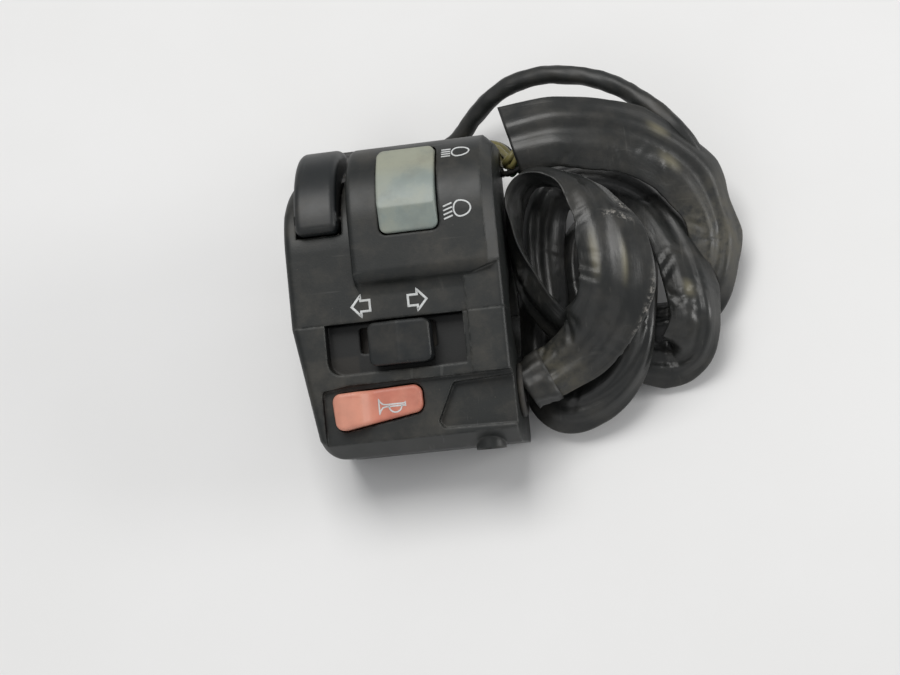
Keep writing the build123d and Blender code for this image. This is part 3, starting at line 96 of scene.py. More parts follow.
class FinishColours(bpy.types.PropertyGroup):
    case_black: colour_setting("Case", "Colour of the moulded case", (0.0070, 0.0088, 0.0083))
    button_black: colour_setting("Black buttons", "Colour of the pass button and the turn knob",
                                 (0.0058, 0.0078, 0.0086))
    rocker_grey: colour_setting("Dimmer rocker", "Colour of the grey green rocker",
                                (0.222, 0.262, 0.244))
    horn_red: colour_setting("Horn button", "Colour of the faded red horn button",
                             (0.53, 0.175, 0.120))
    print_white: colour_setting("Printed signs", "Colour of the printed signs",
                                (0.72, 0.74, 0.74))
    sheath_black: colour_setting("Sheath", "Colour of the vinyl sheath", (0.0130, 0.0142, 0.0138))
    dust_brown: colour_setting("Dust", "Colour of the settled dust", (0.150, 0.130, 0.100))


class StageSettings(bpy.types.PropertyGroup):
    floor_white: bpy.props.FloatProperty(
        name="Floor", description="How pale the floor is", default=0.80, min=0.0, max=1.0,
        subtype="FACTOR")
    lamp_power: bpy.props.FloatProperty(
        name="Lamp power", description="Power of the large soft lamp", default=5.9, min=0.0,
        unit="POWER")
    lens: bpy.props.FloatProperty(
        name="Lens", description="Focal length of the camera", default=75.44, min=20.0,
        unit="CAMERA")


# Small helpers

def link(obj):
    bpy.context.scene.collection.objects.link(obj)
    return obj


def mesh_object(name, bm, smooth=True):
    """A new object from a finished bmesh, with its place in its mesh."""
    mesh = bpy.data.meshes.new(name)
    bm.to_mesh(mesh)
    bm.free()
    for polygon in mesh.polygons:
        polygon.use_smooth = smooth
    return link(bpy.data.objects.new(name, mesh))


def loft(bm, rings, looped=False, shade=0):
    """Skins rings of vertices; the last joins the first, or else both ends are closed."""
    for ring_a, ring_b in zip(rings, rings[1:] + (rings[:1] if looped else [])):
        for i in range(len(ring_a)):
            j = (i + 1) % len(ring_a)
            face = bm.faces.new((ring_a[i], ring_a[j], ring_b[j], ring_b[i]))
            face.material_index = shade
    if not looped:
        for ring in (rings[0], rings[-1]):
            bm.faces.new(ring).material_index = shade


def baked(obj):
    """The same object with its modifiers turned into plain mesh."""
    depsgraph = bpy.context.evaluated_depsgraph_get()
    mesh = bpy.data.meshes.new_from_object(obj.evaluated_get(depsgraph))
    obj.modifiers.clear()
    obj.data = mesh
    return obj


def dress(piece, body, slot, *nodes):
    """Rides a finished piece on its body and hides the nodes it stands for. Its slot is not used.
    """
    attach(piece, body)
    if nodes:
        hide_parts(*nodes)
    return piece


def paint(obj, *materials):
    """Gives an object its finishes, and keeps which face has which."""
    shades = [0] * len(obj.data.polygons)
    obj.data.polygons.foreach_get("material_index", shades)
    obj.data.materials.clear()
    for material in materials:
        obj.data.materials.append(material)
    if len(materials) > 1:
        obj.data.polygons.foreach_set("material_index", shades)


def finished(name, bm, finishes, body, slot, *nodes, smooth=True):
    """A dressed piece from a bmesh whose faces are turned outward first."""
    bmesh.ops.recalc_face_normals(bm, faces=bm.faces)
    piece = mesh_object(name, bm, smooth)
    paint(piece, *[MATERIALS[finish] for finish in finishes])
    return dress(piece, body, slot, *nodes)


def waver(*place):
    """Smooth noise at a place, about -1 to 1."""
    return noise.noise(Vector(place))


# Nodes, and the shader groups that several finishes share

def feed(tree, socket, value):
    """Gives an input its value: another node's output, or a plain one."""
    if hasattr(value, "is_linked"):
        tree.links.new(value, socket)
    else:
        socket.default_value = value


def new_node(tree, kind, setup=None, **inputs):
    """A node with its settings and its inputs, whose names have _ for a space."""
    node = tree.nodes.new(kind)
    for label, value in (setup or {}).items():
        setattr(node, label, value)
    for label, value in inputs.items():
        feed(tree, node.inputs[label.replace("_", " ")], value)
    return node


def maths(tree, operation, *values, clamp=False):
    """A Math node; each value is a socket or a number."""
    node = new_node(tree, "ShaderNodeMath", {"operation": operation, "use_clamp": clamp})
    for socket, value in zip(node.inputs, values):
        feed(tree, socket, value)
    return node.outputs[0]


def times(tree, first, second, clamp=False):
    return maths(tree, "MULTIPLY", first, second, clamp=clamp)


def ramp(tree, value, low, high):
    """Steps smoothly from 0 at low to 1 at high."""
    return new_node(tree, "ShaderNodeMapRange", {"interpolation_type": "SMOOTHSTEP"},
                    Value=value, From_Min=low, From_Max=high).outputs["Result"]


def noise_at(tree, vector, scale, detail=4.0, rough=0.55):
    return new_node(tree, "ShaderNodeTexNoise", Vector=vector, Scale=scale, Detail=detail,
                    Roughness=rough).outputs["Fac"]


def scaled(colour, share):
    """A lighter or darker version of a colour."""
    return tuple(min(1.0, part * share) for part in colour)


def blend_colour(tree, mask, first, second):
    """Mixes two colours; each is a socket or a colour."""
    node = new_node(tree, "ShaderNodeMix", {"data_type": "RGBA"})
    feed(tree, node.inputs[0], mask)
    for socket, value in ((node.inputs[6], first), (node.inputs[7], second)):
        feed(tree, socket, value if hasattr(value, "is_linked") else (*value[:3], 1.0))
    return node.outputs[2]


def layered(tree, shade, layers):
    """Lays colours over each other, each with its mask."""
    for mask, colour in layers:
        shade = blend_colour(tree, mask, shade, colour)
    return shade


def new_group(name, settings, outputs):
    """A shader group that reads a vector and its settings, with its input and output nodes."""
    group = bpy.data.node_groups.new(name, "ShaderNodeTree")
    sockets = group.interface
    sockets.new_socket("Vector", in_out="INPUT", socket_type="NodeSocketVector")
    for label, value in settings.items():
        socket = sockets.new_socket(label, in_out="INPUT", socket_type="NodeSocketFloat")
        socket.default_value = value
    for label in outputs:
        kind = "NodeSocketVector" if label == "Normal" else "NodeSocketFloat"
        sockets.new_socket(label, in_out="OUTPUT", socket_type=kind)
    start, end = group.nodes.new("NodeGroupInput"), group.nodes.new("NodeGroupOutput")
    return group, start.outputs, end.inputs


def grain_group():
    """Fine moulded grain: a height for a bump, and a broad mottle."""
    group, start, end = new_group("moulded_grain", {"Scale": 2600.0, "Softness": 0.5},
                                  ("Height", "Mottle"))
    cells = new_node(group, "ShaderNodeTexVoronoi", {"feature": "SMOOTH_F1"},
                     Vector=start["Vector"], Scale=start["Scale"], Smoothness=start["Softness"])
    fine = noise_at(group, start["Vector"], 5200.0, 2.0)
    feed(group, end["Height"], maths(group, "ADD", cells.outputs["Distance"],
                                     times(group, fine, 0.4)))
    feed(group, end["Mottle"], noise_at(group, start["Vector"], 160.0, 5.0, 0.6))


def dust_group():
    """Settled dust: a mask that favours faces turned up and broken patches, and specks."""
    group, start, end = new_group("settled_dust", {"Amount": 0.5, "Patches": 90.0},
                                  ("Mask", "Specks"))
    shape = new_node(group, "ShaderNodeNewGeometry")
    axes = new_node(group, "ShaderNodeSeparateXYZ", Vector=shape.outputs["Normal"])
    upward = ramp(group, axes.outputs["Z"], -0.3, 1.0)
    broken = ramp(group, noise_at(group, start["Vector"], start["Patches"], 8.0, 0.68),
                  0.42, 0.75)
    feed(group, end["Mask"], times(group, times(group, upward, broken), start["Amount"],
                                   clamp=True))
    grit = noise_at(group, start["Vector"], 1400.0, 3.0, 0.7)
    feed(group, end["Specks"], times(group, ramp(group, grit, 0.68, 0.74), start["Amount"]))


def edge_wear_and_highlight_group():
    """Edge wear, and on the case also a painted highlight along the edges: a mask along the edges,
    broken up by noise, and the softened normal.
    """
    group, start, end = new_group("edge_wear_and_highlight", {"Amount": 0.5}, ("Mask", "Normal"))
    soft = new_node(group, "ShaderNodeBevel", {"samples": 6}, Radius=0.0009)
    shape = new_node(group, "ShaderNodeNewGeometry")
    alike = new_node(group, "ShaderNodeVectorMath", {"operation": "DOT_PRODUCT"})
    for socket, node in zip(alike.inputs, (soft, shape)):
        feed(group, socket, node.outputs["Normal"])
    edge = ramp(group, maths(group, "SUBTRACT", 1.0, alike.outputs["Value"]), 0.02, 0.16)
    broken = ramp(group, noise_at(group, start["Vector"], 420.0, 5.0, 0.65), 0.38, 0.66)
    feed(group, end["Mask"], times(group, times(group, edge, broken), start["Amount"],
                                   clamp=True))
    feed(group, end["Normal"], soft.outputs["Normal"])


def scuff_group():
    """Handling scuffs: short fine scratches in two directions, as a mask."""
    group, start, end = new_group("handling_scuffs", {"Amount": 0.5}, ("Mask",))
    marks = []
    for turn, stretch in ((0.6, (40.0, 900.0, 300.0)), (-0.9, (700.0, 50.0, 260.0))):
        place = new_node(group, "ShaderNodeMapping", Vector=start["Vector"],
                         Rotation=(0.2, 0.1, turn), Scale=stretch)
        marks.append(ramp(group, noise_at(group, place.outputs["Vector"], 1.0, 2.0, 0.5),
                          0.66, 0.72))
    where = ramp(group, noise_at(group, start["Vector"], 60.0, 3.0), 0.45, 0.62)
    both = maths(group, "MAXIMUM", *marks)
    feed(group, end["Mask"], times(group, times(group, both, where), start["Amount"],
                                   clamp=True))


def put_group(tree, group, vector, **values):
    """Places a shared group in a finish with its own values."""
    return new_node(tree, "ShaderNodeGroup", {"node_tree": bpy.data.node_groups[group]},
                    Vector=vector, **values).outputs


def new_material(name):
    """A material with its tree, its shader's inputs and its texture coordinates."""
    material = bpy.data.materials.new(name)
    material.use_nodes = True
    tree = material.node_tree
    coords = new_node(tree, "ShaderNodeTexCoord").outputs
    return material, tree, tree.nodes["Principled BSDF"].inputs, coords


def raise_surface(tree, shader, height, strength, distance, **normal):
    """Feeds a height to the shader through a Bump node."""
    bump = new_node(tree, "ShaderNodeBump", Strength=strength, Distance=distance,
                    Height=height, **normal)
    feed(tree, shader["Normal"], bump.outputs["Normal"])


def inside(tree, value, low, high, soft):
    """1 between low and high, falling to 0 over soft on each side."""
    return times(tree, ramp(tree, value, low - soft, low), ramp(tree, value, high + soft, high))


def shade_and_grime_mask(tree, place, box):
    """Where a box of the leaning housing is, for painted shade and for grime: its span along the
    bar, up the face and out.
    """
    turned = new_node(tree, "ShaderNodeMapping", Vector=place, Rotation=(-LEAN, 0.0, 0.0))
    axes = new_node(tree, "ShaderNodeSeparateXYZ", Vector=turned.outputs["Vector"])
    shares = [inside(tree, axes.outputs[i], box[2 * i] * MM, box[2 * i + 1] * MM, SHADE_AND_GRIME_FADE)
              for i in range(3)]
    return times(tree, times(tree, shares[0], shares[1]), shares[2])


def moulded(name, colour, rough=0.48, grain=0.03, dust=0.4, wear=0.4, scuffs=0.4,
            wear_and_highlight_colour=(0.11, 0.112, 0.115), second=None, shade_and_grime=()):
    """A moulded plastic with grain, dust, edge wear and scuffs; on the case the edge wear is
    partly a painted highlight, and boxes of painted shade and of grime lie over it. A second,
    paler colour is a painted highlight on the part that faces the light; it comes with its axis
    and with where on it the change begins and ends."""
    brown = bpy.context.scene.cluster_colours.dust_brown
    material, tree, shader, coords = new_material(name)
    place = coords["Object"]
    grained = put_group(tree, "moulded_grain", place)
    dusty = put_group(tree, "settled_dust", place, Amount=dust)
    worn = put_group(tree, "edge_wear_and_highlight", place, Amount=wear)
    scuffed = put_group(tree, "handling_scuffs", place, Amount=scuffs)
    mottle = grained["Mottle"]
    base, pale, dark = tuple(colour), scaled(colour, 1.22), scaled(colour, 0.80)
    # The second colour is a painted highlight: a paler part where the piece faces the light
    if second:
        lit_colour, axis, begins, ends = second
        axes = new_node(tree, "ShaderNodeSeparateXYZ", Vector=place)
        base = blend_colour(tree, ramp(tree, axes.outputs[axis], begins, ends), base, lit_colour)
        pale, dark = scaled(lit_colour, 1.12), scaled(colour, 0.88)
    layers = [(times(tree, ramp(tree, mottle, 0.35, 0.7), 0.5), pale),
              (times(tree, ramp(tree, mottle, 0.5, 0.3), 0.4), dark),
              # The edge layer: wear, and on the case also a painted highlight along its edges
              (worn["Mask"], wear_and_highlight_colour),
              (times(tree, scuffed["Mask"], 0.6), wear_and_highlight_colour),
              (dusty["Mask"], brown),
              (times(tree, dusty["Specks"], 0.7), scaled(brown, 2.2))]
    # Boxes of painted shade and of grime: on the case, painted shade darkens the turn switch's
    # recess and brownish grime lies at its left
    layers += [(times(tree, shade_and_grime_mask(tree, place, box), share), shade_and_grime_colour)
               for box, share, shade_and_grime_colour in shade_and_grime]
    feed(tree, shader["Base Color"], layered(tree, base, layers))
    dull = maths(tree, "ADD", times(tree, mottle, 0.22), rough - 0.11)
    feed(tree, shader["Roughness"],
         maths(tree, "ADD", dull, times(tree, dusty["Mask"], 0.3), clamp=True))
    raise_surface(tree, shader, grained["Height"], grain, 0.0001, Normal=worn["Normal"])
    return material


def metal(name, colour, rough, brushed):
    """A plated or stamped metal with fine directional marks and dull patches."""
    material, tree, shader, coords = new_material(name)
    stretch = new_node(tree, "ShaderNodeMapping", Vector=coords["Object"],
                       Scale=(300.0, 300.0, 4000.0))
    marks = noise_at(tree, stretch.outputs["Vector"], 1.0, 3.0, 0.6)
    patches = noise_at(tree, coords["Object"], 500.0, 5.0, 0.6)
    feed(tree, shader["Base Color"], blend_colour(
        tree, ramp(tree, patches, 0.35, 0.75), colour, scaled(colour, 0.55)))
    feed(tree, shader["Roughness"],
         maths(tree, "ADD", times(tree, patches, 0.3), rough - 0.1, clamp=True))
    shader["Metallic"].default_value = 1.0
    raise_surface(tree, shader, marks, brushed, 0.00005)
    return material


def sheath_material():
    """Dull black vinyl with soft creases, scuffs and dust, with the rubbed, taped and slit places
    of its marks, and with painted highlights, pale warm patches held in the marks' alpha. Its UV
    map holds its length and its girth in metres."""
    colours = bpy.context.scene.cluster_colours
    material, tree, shader, coords = new_material("sheath_vinyl")
    place = coords["Object"]
    dusty = put_group(tree, "settled_dust", place, Amount=0.30, Patches=120.0)["Mask"]
    scuffed = put_group(tree, "handling_scuffs", place, Amount=0.5)["Mask"]
    mottle = noise_at(tree, place, 130.0, 6.0, 0.62)
    marks = new_node(tree, "ShaderNodeAttribute", {"attribute_name": "marks"}).outputs
    rub, tape, slit = new_node(tree, "ShaderNodeSeparateColor", Color=marks["Color"]).outputs
    rub = times(tree, rub, ramp(tree, noise_at(tree, place, 900.0, 6.0, 0.72), 0.46, 0.62))
    tape = times(tree, tape, ramp(tree, noise_at(tree, place, 240.0, 6.0, 0.7), 0.30, 0.66))
    feed(tree, shader["Base Color"], layered(tree, tuple(colours.sheath_black), (
        (ramp(tree, mottle, 0.42, 0.75), (0.026, 0.026, 0.024)),
        (times(tree, dusty, 0.35), tuple(colours.dust_brown)),
        (times(tree, scuffed, 0.35), (0.12, 0.116, 0.105)),
        (times(tree, tape, 0.75), (0.088, 0.080, 0.056)),
        # Painted highlight: the marks' alpha lays a pale warm colour where the vinyl would catch
        # the light
        (times(tree, marks["Alpha"], 0.75), (0.175, 0.160, 0.105)),
        (times(tree, rub, 0.85), (0.36, 0.34, 0.31)),
        (ramp(tree, slit, 0.15, 0.55), (0.001, 0.001, 0.001)))))
    rough = maths(tree, "ADD", times(tree, mottle, 0.28), 0.21)
    rough = maths(tree, "ADD", rough, times(tree, dusty, 0.25))
    feed(tree, shader["Roughness"],
         maths(tree, "ADD", rough, times(tree, tape, 0.25), clamp=True))
    stretch = new_node(tree, "ShaderNodeMapping", Vector=coords["UV"], Scale=(110.0, 560.0, 1.0))
    creases = noise_at(tree, stretch.outputs["Vector"], 1.0, 4.0, 0.6)
    fine = times(tree, noise_at(tree, place, 900.0, 4.0, 0.6), 0.10)
    height = maths(tree, "SUBTRACT", maths(tree, "ADD", creases, fine), slit)
    raise_surface(tree, shader, height, 0.22, 0.0006)
    return material


MATERIALS = {}
# How softly the boxes of painted shade and of grime fade at their sides
SHADE_AND_GRIME_FADE = 1.0 * MM
# Painted shade and grime in the turn switch's recess. The first box is painted shade, a near-black
# darkening of the recess floor; the second is brownish grime at its left. Each has its span along
# the bar, up the face and out of it in millimetres, how much there is, and its colour
RECESS_SHADE_AND_GRIME = (((-19.5, 17.0, -14.0, 0.0, 10.0, 20.6), 0.85, (0.0022, 0.0026, 0.0026)),
                ((-19.5, -12.0, -14.0, -8.5, 10.0, 20.0), 0.55, (0.026, 0.022, 0.016)))
# The yellow wire's colour is dark and dull: partly dust on it, partly painted shade of the place
# where it lies
WIRE_COLOURS = {"yellow": (0.17, 0.15, 0.05), "green": (0.03, 0.16, 0.05),
                "black": (0.012, 0.012, 0.012)}
# Which finish each of the record's material slots has
SLOT_FINISHES = {"case_plastic": "case", "button_plastic": "button", "grey_plastic": "rocker",
                 "base_plastic": "base", "screw_steel": "steel", "contact_brass": "brass",
                 "horn_plastic": "horn", "grommet_rubber": "rubber", "sheath_vinyl": "sheath",
                 "wire_vinyl": "wire_black", "connector_plastic": "nylon"}


class CLUSTER_OT_finishes(bpy.types.Operator):
    """Makes the shader groups and the finishes"""
    bl_idname = "cluster.finishes"
    bl_label = "Make the finishes"

    def execute(self, context):
        colours = context.scene.cluster_colours
        for build in (grain_group, dust_group, edge_wear_and_highlight_group, scuff_group):
            build()
        MATERIALS.update(
            # The case's pale edge layer is partly wear and partly a painted highlight along its
            # edges
            case=moulded("case_plastic", colours.case_black, rough=0.46, grain=0.10, dust=0.20,
                         wear=0.7, scuffs=0.35, wear_and_highlight_colour=(0.110, 0.112, 0.106),
                         # its recess gets a box of painted shade and a box of grime
                         shade_and_grime=RECESS_SHADE_AND_GRIME),
            button=moulded("button_plastic", colours.button_black, rough=0.43, grain=0.04,
                           dust=0.15, wear=0.35, wear_and_highlight_colour=(0.060, 0.065, 0.068)),
            # The rocker's upper facet is painted paler and yellower: a painted highlight where it
            # faces the light
            rocker=moulded("rocker_plastic", colours.rocker_grey, rough=0.40, dust=0.3,
                           wear=0.3, scuffs=0.3, wear_and_highlight_colour=(0.22, 0.22, 0.19),
                           second=((0.295, 0.306, 0.243), 1, 0.0215, 0.0275)),
            # The horn button's raised left part is painted paler: a painted highlight where it
            # faces the light
            horn=moulded("horn_plastic", colours.horn_red, rough=0.42, dust=0.25, wear=0.5,
                         scuffs=0.35, wear_and_highlight_colour=(0.46, 0.08, 0.05),
                         second=((0.62, 0.265, 0.185), 0, -0.0075, -0.0105)),
            base=moulded("base_plastic", (0.045, 0.040, 0.034), rough=0.5, grain=0.1, dust=0.5,
                         wear=0.2, scuffs=0.2),
            print=moulded("printed_sign", colours.print_white, rough=0.5, grain=0.02,
                          dust=0.35, wear=0.0, scuffs=0.5, wear_and_highlight_colour=(0.30, 0.30, 0.29)),
            rubber=moulded("grommet_rubber", (0.014, 0.014, 0.014), rough=0.62, grain=0.2,
                           dust=0.6, wear=0.1, scuffs=0.1),
            nylon=moulded("connector_nylon", (0.030, 0.030, 0.030), rough=0.45, grain=0.05,
                          dust=0.5, wear=0.3, scuffs=0.3, wear_and_highlight_colour=(0.10, 0.10, 0.10)),
            steel=metal("zinc_steel", (0.58, 0.58, 0.56), 0.38, 0.3),
            brass=metal("contact_brass", (0.70, 0.52, 0.24), 0.32, 0.2),
            sheath=sheath_material(),
            sleeve=moulded("thin_sleeve", colours.sheath_black, rough=0.42, grain=0.12,
                           dust=0.2, wear=0.0, scuffs=0.3))
        for label, colour in WIRE_COLOURS.items():
            MATERIALS["wire_" + label] = moulded(
                "wire_" + label, colour, rough=0.35, grain=0.02, wear=0.0, scuffs=0.2,
                wear_and_highlight_colour=scaled(colour, 1.5))
        for entry in frame["record"]["subparts"]:
            finish = SLOT_FINISHES[entry["material_slot"]]
            paint(NODES[entry["node"]], MATERIALS[finish])
        return {"FINISHED"}


# The cords' routes, in millimetres. Each turn of the sheath is given by where it reaches
# furthest right, back, left and forward
TURN_RIGHTS = ((54.0, 3.0, 16.5), (71.8, -3.0, -2.0), (57.6, -3.25, 0.5), (78.6, 21.0, -4.5))
TURN_BACKS = ((35.5, 30.6, 16.0), (43.2, 42.4, -8.0), (50.0, 28.0, -10.0), (43.0, 42.0, 16.0))
TURN_LEFTS = ((28.4, 13.0, 7.5), (32.9, 5.75, -13.0), (42.5, 8.5, -14.6))
TURN_FRONTS = ((64.0, -13.0, -14.6), (37.8, -24.0, -11.5), (66.5, -1.0, -14.6))
EXIT = (27.8, -21.19, -0.26)
FIRST_KNOT = (36.5, -17.0, 0.8)
SHEATH_END = (28.4, 40.8, 15.5)
MAIN_WIRES = ((31.5, 38.5, 14.5), (29.6, 35.2, 14.0), (28.8, 36.2, 8.5), (25.5, 46.0, 6.0),
              (12.0, 51.0, -2.0), (15.0, 51.0, -16.5), (12.0, 29.0, -14.0), (-12.0, 29.0, -14.0))
BRANCH = ((76.5, 27.0, -5.0), (77.0, 33.0, -4.0), (76.0, 40.0, 1.0), (69.0, 49.0, 5.5),
          (57.5, 60.6, 5.0), (45.0, 66.2, 4.0), (31.8, 68.2, 1.5), (20.2, 64.5, -4.0),
          (9.0, 56.0, -15.6), (-7.0, 56.0, -15.6))
SHEATH_STEP = 0.0009
WIRE_STEP = 0.0012
CREASES = 120
# At each of these places on the sheath: which way its flat side faces, its width and thickness
SHEATH_FACES = (
    ((27.8, -21.2, -0.3), (0.0, -0.35, 1.0), 9.0, 8.4),
    ((35.0, -18.0, 0.7), (-0.1, -0.45, 0.9), 13.5, 7.5),
    ((45.0, -13.0, 5.0), (0.10, -0.50, 0.85), 15.5, 5.6),
    ((51.5, -6.0, 12.1), (0.15, -0.35, 0.92), 17.5, 4.8),
    ((53.2, 8.8, 16.4), (0.05, -0.05, 1.0), 18.0, 4.8),
    ((49.5, 20.5, 16.3), (0.35, 0.45, 0.8), 14.5, 4.8),
    ((40.0, 28.6, 16.0), (0.10, 1.0, 0.40), 12.0, 4.6),
    ((31.8, 28.3, 14.3), (-0.3, 1.0, 0.15), 12.0, 4.6),
    ((28.6, 17.0, 8.5), (-1.0, 0.1, 0.10), 14.5, 4.0),
    ((32.4, 2.0, 0.5), (-0.85, -0.3, 0.45), 13.5, 5.0),
    ((57.8, -12.2, -12.8), (0.1, -0.3, 0.95), 11.0, 6.0),
    ((71.6, -4.0, -3.0), (0.35, -0.1, 0.93), 13.0, 5.6),
    ((66.7, 20.2, -4.3), (0.25, 0.2, 0.95), 14.0, 5.6),
    ((43.8, 41.0, -8.0), (0.0, 0.15, 1.0), 15.0, 5.6),
    ((33.5, 5.0, -13.0), (0.0, 0.0, 1.0), 13.0, 5.6),
    ((37.6, -23.2, -11.3), (-0.05, -0.45, 0.9), 11.6, 6.0),
    ((52.3, -19.3, -5.8), (0.3, -0.3, 0.9), 11.5, 6.0),
    ((57.2, -5.3, -0.4), (0.75, 0.0, 0.65), 11.5, 5.6),
    ((53.3, 23.1, -9.1), (0.1, 0.3, 0.95), 11.5, 6.0),
    ((45.6, 6.8, -14.6), (0.0, 0.0, 1.0), 11.5, 6.0),
    ((67.1, -0.5, -14.2), (0.1, 0.0, 1.0), 11.5, 6.0),
    ((78.2, 21.0, -4.6), (0.50, -0.1, 0.85), 14.5, 6.0),
    ((74.8, 31.6, 0.6), (0.25, 0.05, 0.97), 18.4, 6.0),
    ((65.5, 38.6, 8.0), (0.10, -0.05, 0.98), 18.4, 5.8),
    ((50.1, 41.0, 13.7), (0.05, -0.20, 0.97), 18.5, 6.0),
    ((28.4, 40.8, 15.5), (0.0, -0.25, 0.97), 19.0, 6.2),
)
# Sharp corners of the vinyl: run along the sheath, side, height and reach, in millimetres
SHEATH_CORNERS = ((480.0, 1, 1.3, 8.0), (447.0, 1, 1.3, 7.0), (462.0, 1, 1.3, 6.0),
                  (415.0, 1, 2.4, 8.0), (37.0, 1, 1.2, 9.0), (25.0, -1, 2.2, 6.0),
                  (66.0, 1, 0.9, 5.0), (164.0, -1, 2.2, 6.0), (177.0, 1, 0.9, 8.0),
                  (300.0, 1, 0.9, 7.0), (312.0, -1, 1.4, 6.0), (151.0, 1, 1.2, 6.0))
# Patches on the vinyl, in millimetres along and shares across: which mark, run, place across,
# slant, reach along and reach across. Rub, tape and slit are marks of the vinyl; the
# painted_highlight patches are painted highlights, pale where the vinyl would catch the light
SHEATH_PATCHES = (
    ("rub", 53.6, 0.35, -3.6, 1.5, 0.62), ("rub", 57.5, 0.85, 0.0, 3.6, 0.35),
    ("rub", 33.0, 0.92, 0.0, 9.0, 0.10), ("slit", 55.4, 0.55, -3.6, 1.35, 0.50),
    ("tape", 447.0, 0.0, 0.0, 17.0, 3.0), ("tape", 8.0, 0.0, 0.0, 12.0, 3.0),
    ("painted_highlight", 45.0, -0.50, 0.0, 9.0, 0.17), ("painted_highlight", 42.0, 0.22, 0.0, 6.5, 0.13),
    ("painted_highlight", 176.0, -0.2, 0.0, 3.2, 0.28), ("painted_highlight", 476.0, 0.5, 3.0, 4.0, 0.22),
    ("painted_highlight", 470.0, -0.1, 4.0, 5.0, 0.2),
)


def turn_points():
    """The sheath's points: straight out of the grommet, then twelve to each loose turn."""
    start = Vector(EXIT)
    spots = [(Vector(FIRST_KNOT), Vector((0.94, 0.34, 0.0)))]
    for turn, (right, back) in enumerate(zip(TURN_RIGHTS, TURN_BACKS)):
        if turn:
            spots.append((Vector(TURN_FRONTS[turn - 1]), Vector((1, 0, 0))))
        spots.append((Vector(right), Vector((0, 1, 0))))
        spots.append((Vector(back), Vector((-1, 0, 0))))
        if turn < len(TURN_LEFTS):
            spots.append((Vector(TURN_LEFTS[turn]), Vector((0, -1, 0))))
    points = [start, start.lerp(spots[0][0], 0.5) + Vector((0, 0.5, 0))]
    for here, there in zip(spots, spots[1:]):
        (a, way_a), (b, way_b) = here, there
        pull = 1.15 * (b - a).length
        for step in range(3):
            t = step / 3
            spread = a * (2 * t**3 - 3 * t**2 + 1) + b * (3 * t**2 - 2 * t**3)
            points.append(spread + way_a * pull * (t**3 - 2 * t**2 + t)
                          + way_b * pull * (t**3 - t**2))
    points += [spots[-1][0], spots[-1][0] - Vector((6, 0, 0)), Vector(SHEATH_END)]
    return [point * MM for point in points]


def line_of(points):
    """Close points on one smooth open spline that has the route's points as its controls."""
    curve = bpy.data.curves.new("route_line", "CURVE")
    curve.dimensions = "3D"
    curve.resolution_u = 8
    spline = curve.splines.new("NURBS")
    spline.points.add(len(points) - 1)
    for slot, point in zip(spline.points, points):
        slot.co = (*point, 1.0)
    spline.order_u = 3
    spline.use_endpoint_u = True
    obj = link(bpy.data.objects.new("route_line", curve))
    depsgraph = bpy.context.evaluated_depsgraph_get()
    mesh = bpy.data.meshes.new_from_object(obj.evaluated_get(depsgraph))
    line = [vertex.co.copy() for vertex in mesh.vertices]
    bpy.data.objects.remove(obj)
    bpy.data.curves.remove(curve)
    bpy.data.meshes.remove(mesh)
    return line


def evenly(line, step):
    """The same line with points a steady step apart."""
    out, spare = [line[0].copy()], 0.0
    for a, b in zip(line, line[1:]):
        run = (b - a).length
        if run < 1e-9:
            continue
        reach = step - spare
        while reach <= run:
            out.append(a.lerp(b, reach / run))
            reach += step
        spare = run - (reach - step)
    if (out[-1] - line[-1]).length > step * 0.3:
        out.append(line[-1].copy())
    return out


def directions(line):
    ways = []
    for index in range(len(line)):
        before, after = line[max(0, index - 1)], line[min(len(line) - 1, index + 1)]
        ways.append((after - before).normalized())
    return ways


def smoothed(values, passes):
    for _ in range(passes):
        values = [(values[max(0, i - 1)] + values[i] * 2 + values[min(len(values) - 1, i + 1)]) / 4
                  for i in range(len(values))]
    return values


def bump_at(position, centre, reach):
    """1 at centre, falling smoothly to 0 at reach away."""
    t = min(1.0, abs(position - centre) / reach)
    return (1 - t * t) ** 2


def runs_of(line):
    runs = [0.0]
    for a, b in zip(line, line[1:]):
        runs.append(runs[-1] + (b - a).length)
    return runs


def sheath_sections(line, ways, runs):
    """For each point: the way its flat side faces, its width and its thickness."""
    keys, after = [], 0
    for place, face, width, thick in SHEATH_FACES:
        spot = Vector(place) * MM
        limit = min(len(line), after + int(0.13 / (runs[1] - runs[0])))
        nearest = min(range(after, limit), key=lambda i: (line[i] - spot).length)
        keys.append((nearest, Vector(face).normalized(), width * MM, thick * MM))
        after = nearest + 1
    keys[0] = (0, *keys[0][1:])
    keys[-1] = (len(line) - 1, *keys[-1][1:])
    faces, widths, thicks = [], [], []
    for (start, face_a, width_a, thick_a), (end, face_b, width_b, thick_b) in zip(keys, keys[1:]):
        for index in range(start, end):
            t = (index - start) / (end - start)
            t = t * t * (3 - 2 * t)
            faces.append(face_a.lerp(face_b, t))
            widths.append(width_a + (width_b - width_a) * t)
            thicks.append(thick_a + (thick_b - thick_a) * t)
    faces.append(keys[-1][1])
    widths.append(keys[-1][2])
    thicks.append(keys[-1][3])
    faces = smoothed([f - w * f.dot(w) for f, w in zip(faces, ways)], 24)
    return [(f - w * f.dot(w)).normalized() for f, w in zip(faces, ways)], widths, thicks


def sheath_creases(total):
    """Short sharp folds in the vinyl, seeded: run, place across, slant, reach, depth and side."""
    chance = random.Random(7)
    creases = []
    for _ in range(CREASES):
        run = chance.uniform(0.002, total - 0.002)
        inner = chance.random() < 0.6
        across = chance.uniform(-1.0, -0.1) if inner else chance.uniform(-0.7, 0.95)
        creases.append((run, across, math.radians(chance.uniform(-50, 50)),
                        chance.uniform(0.0022, 0.0065), chance.uniform(0.4, 1.0),
                        1 if chance.random() < 0.7 else -1))
    return creases


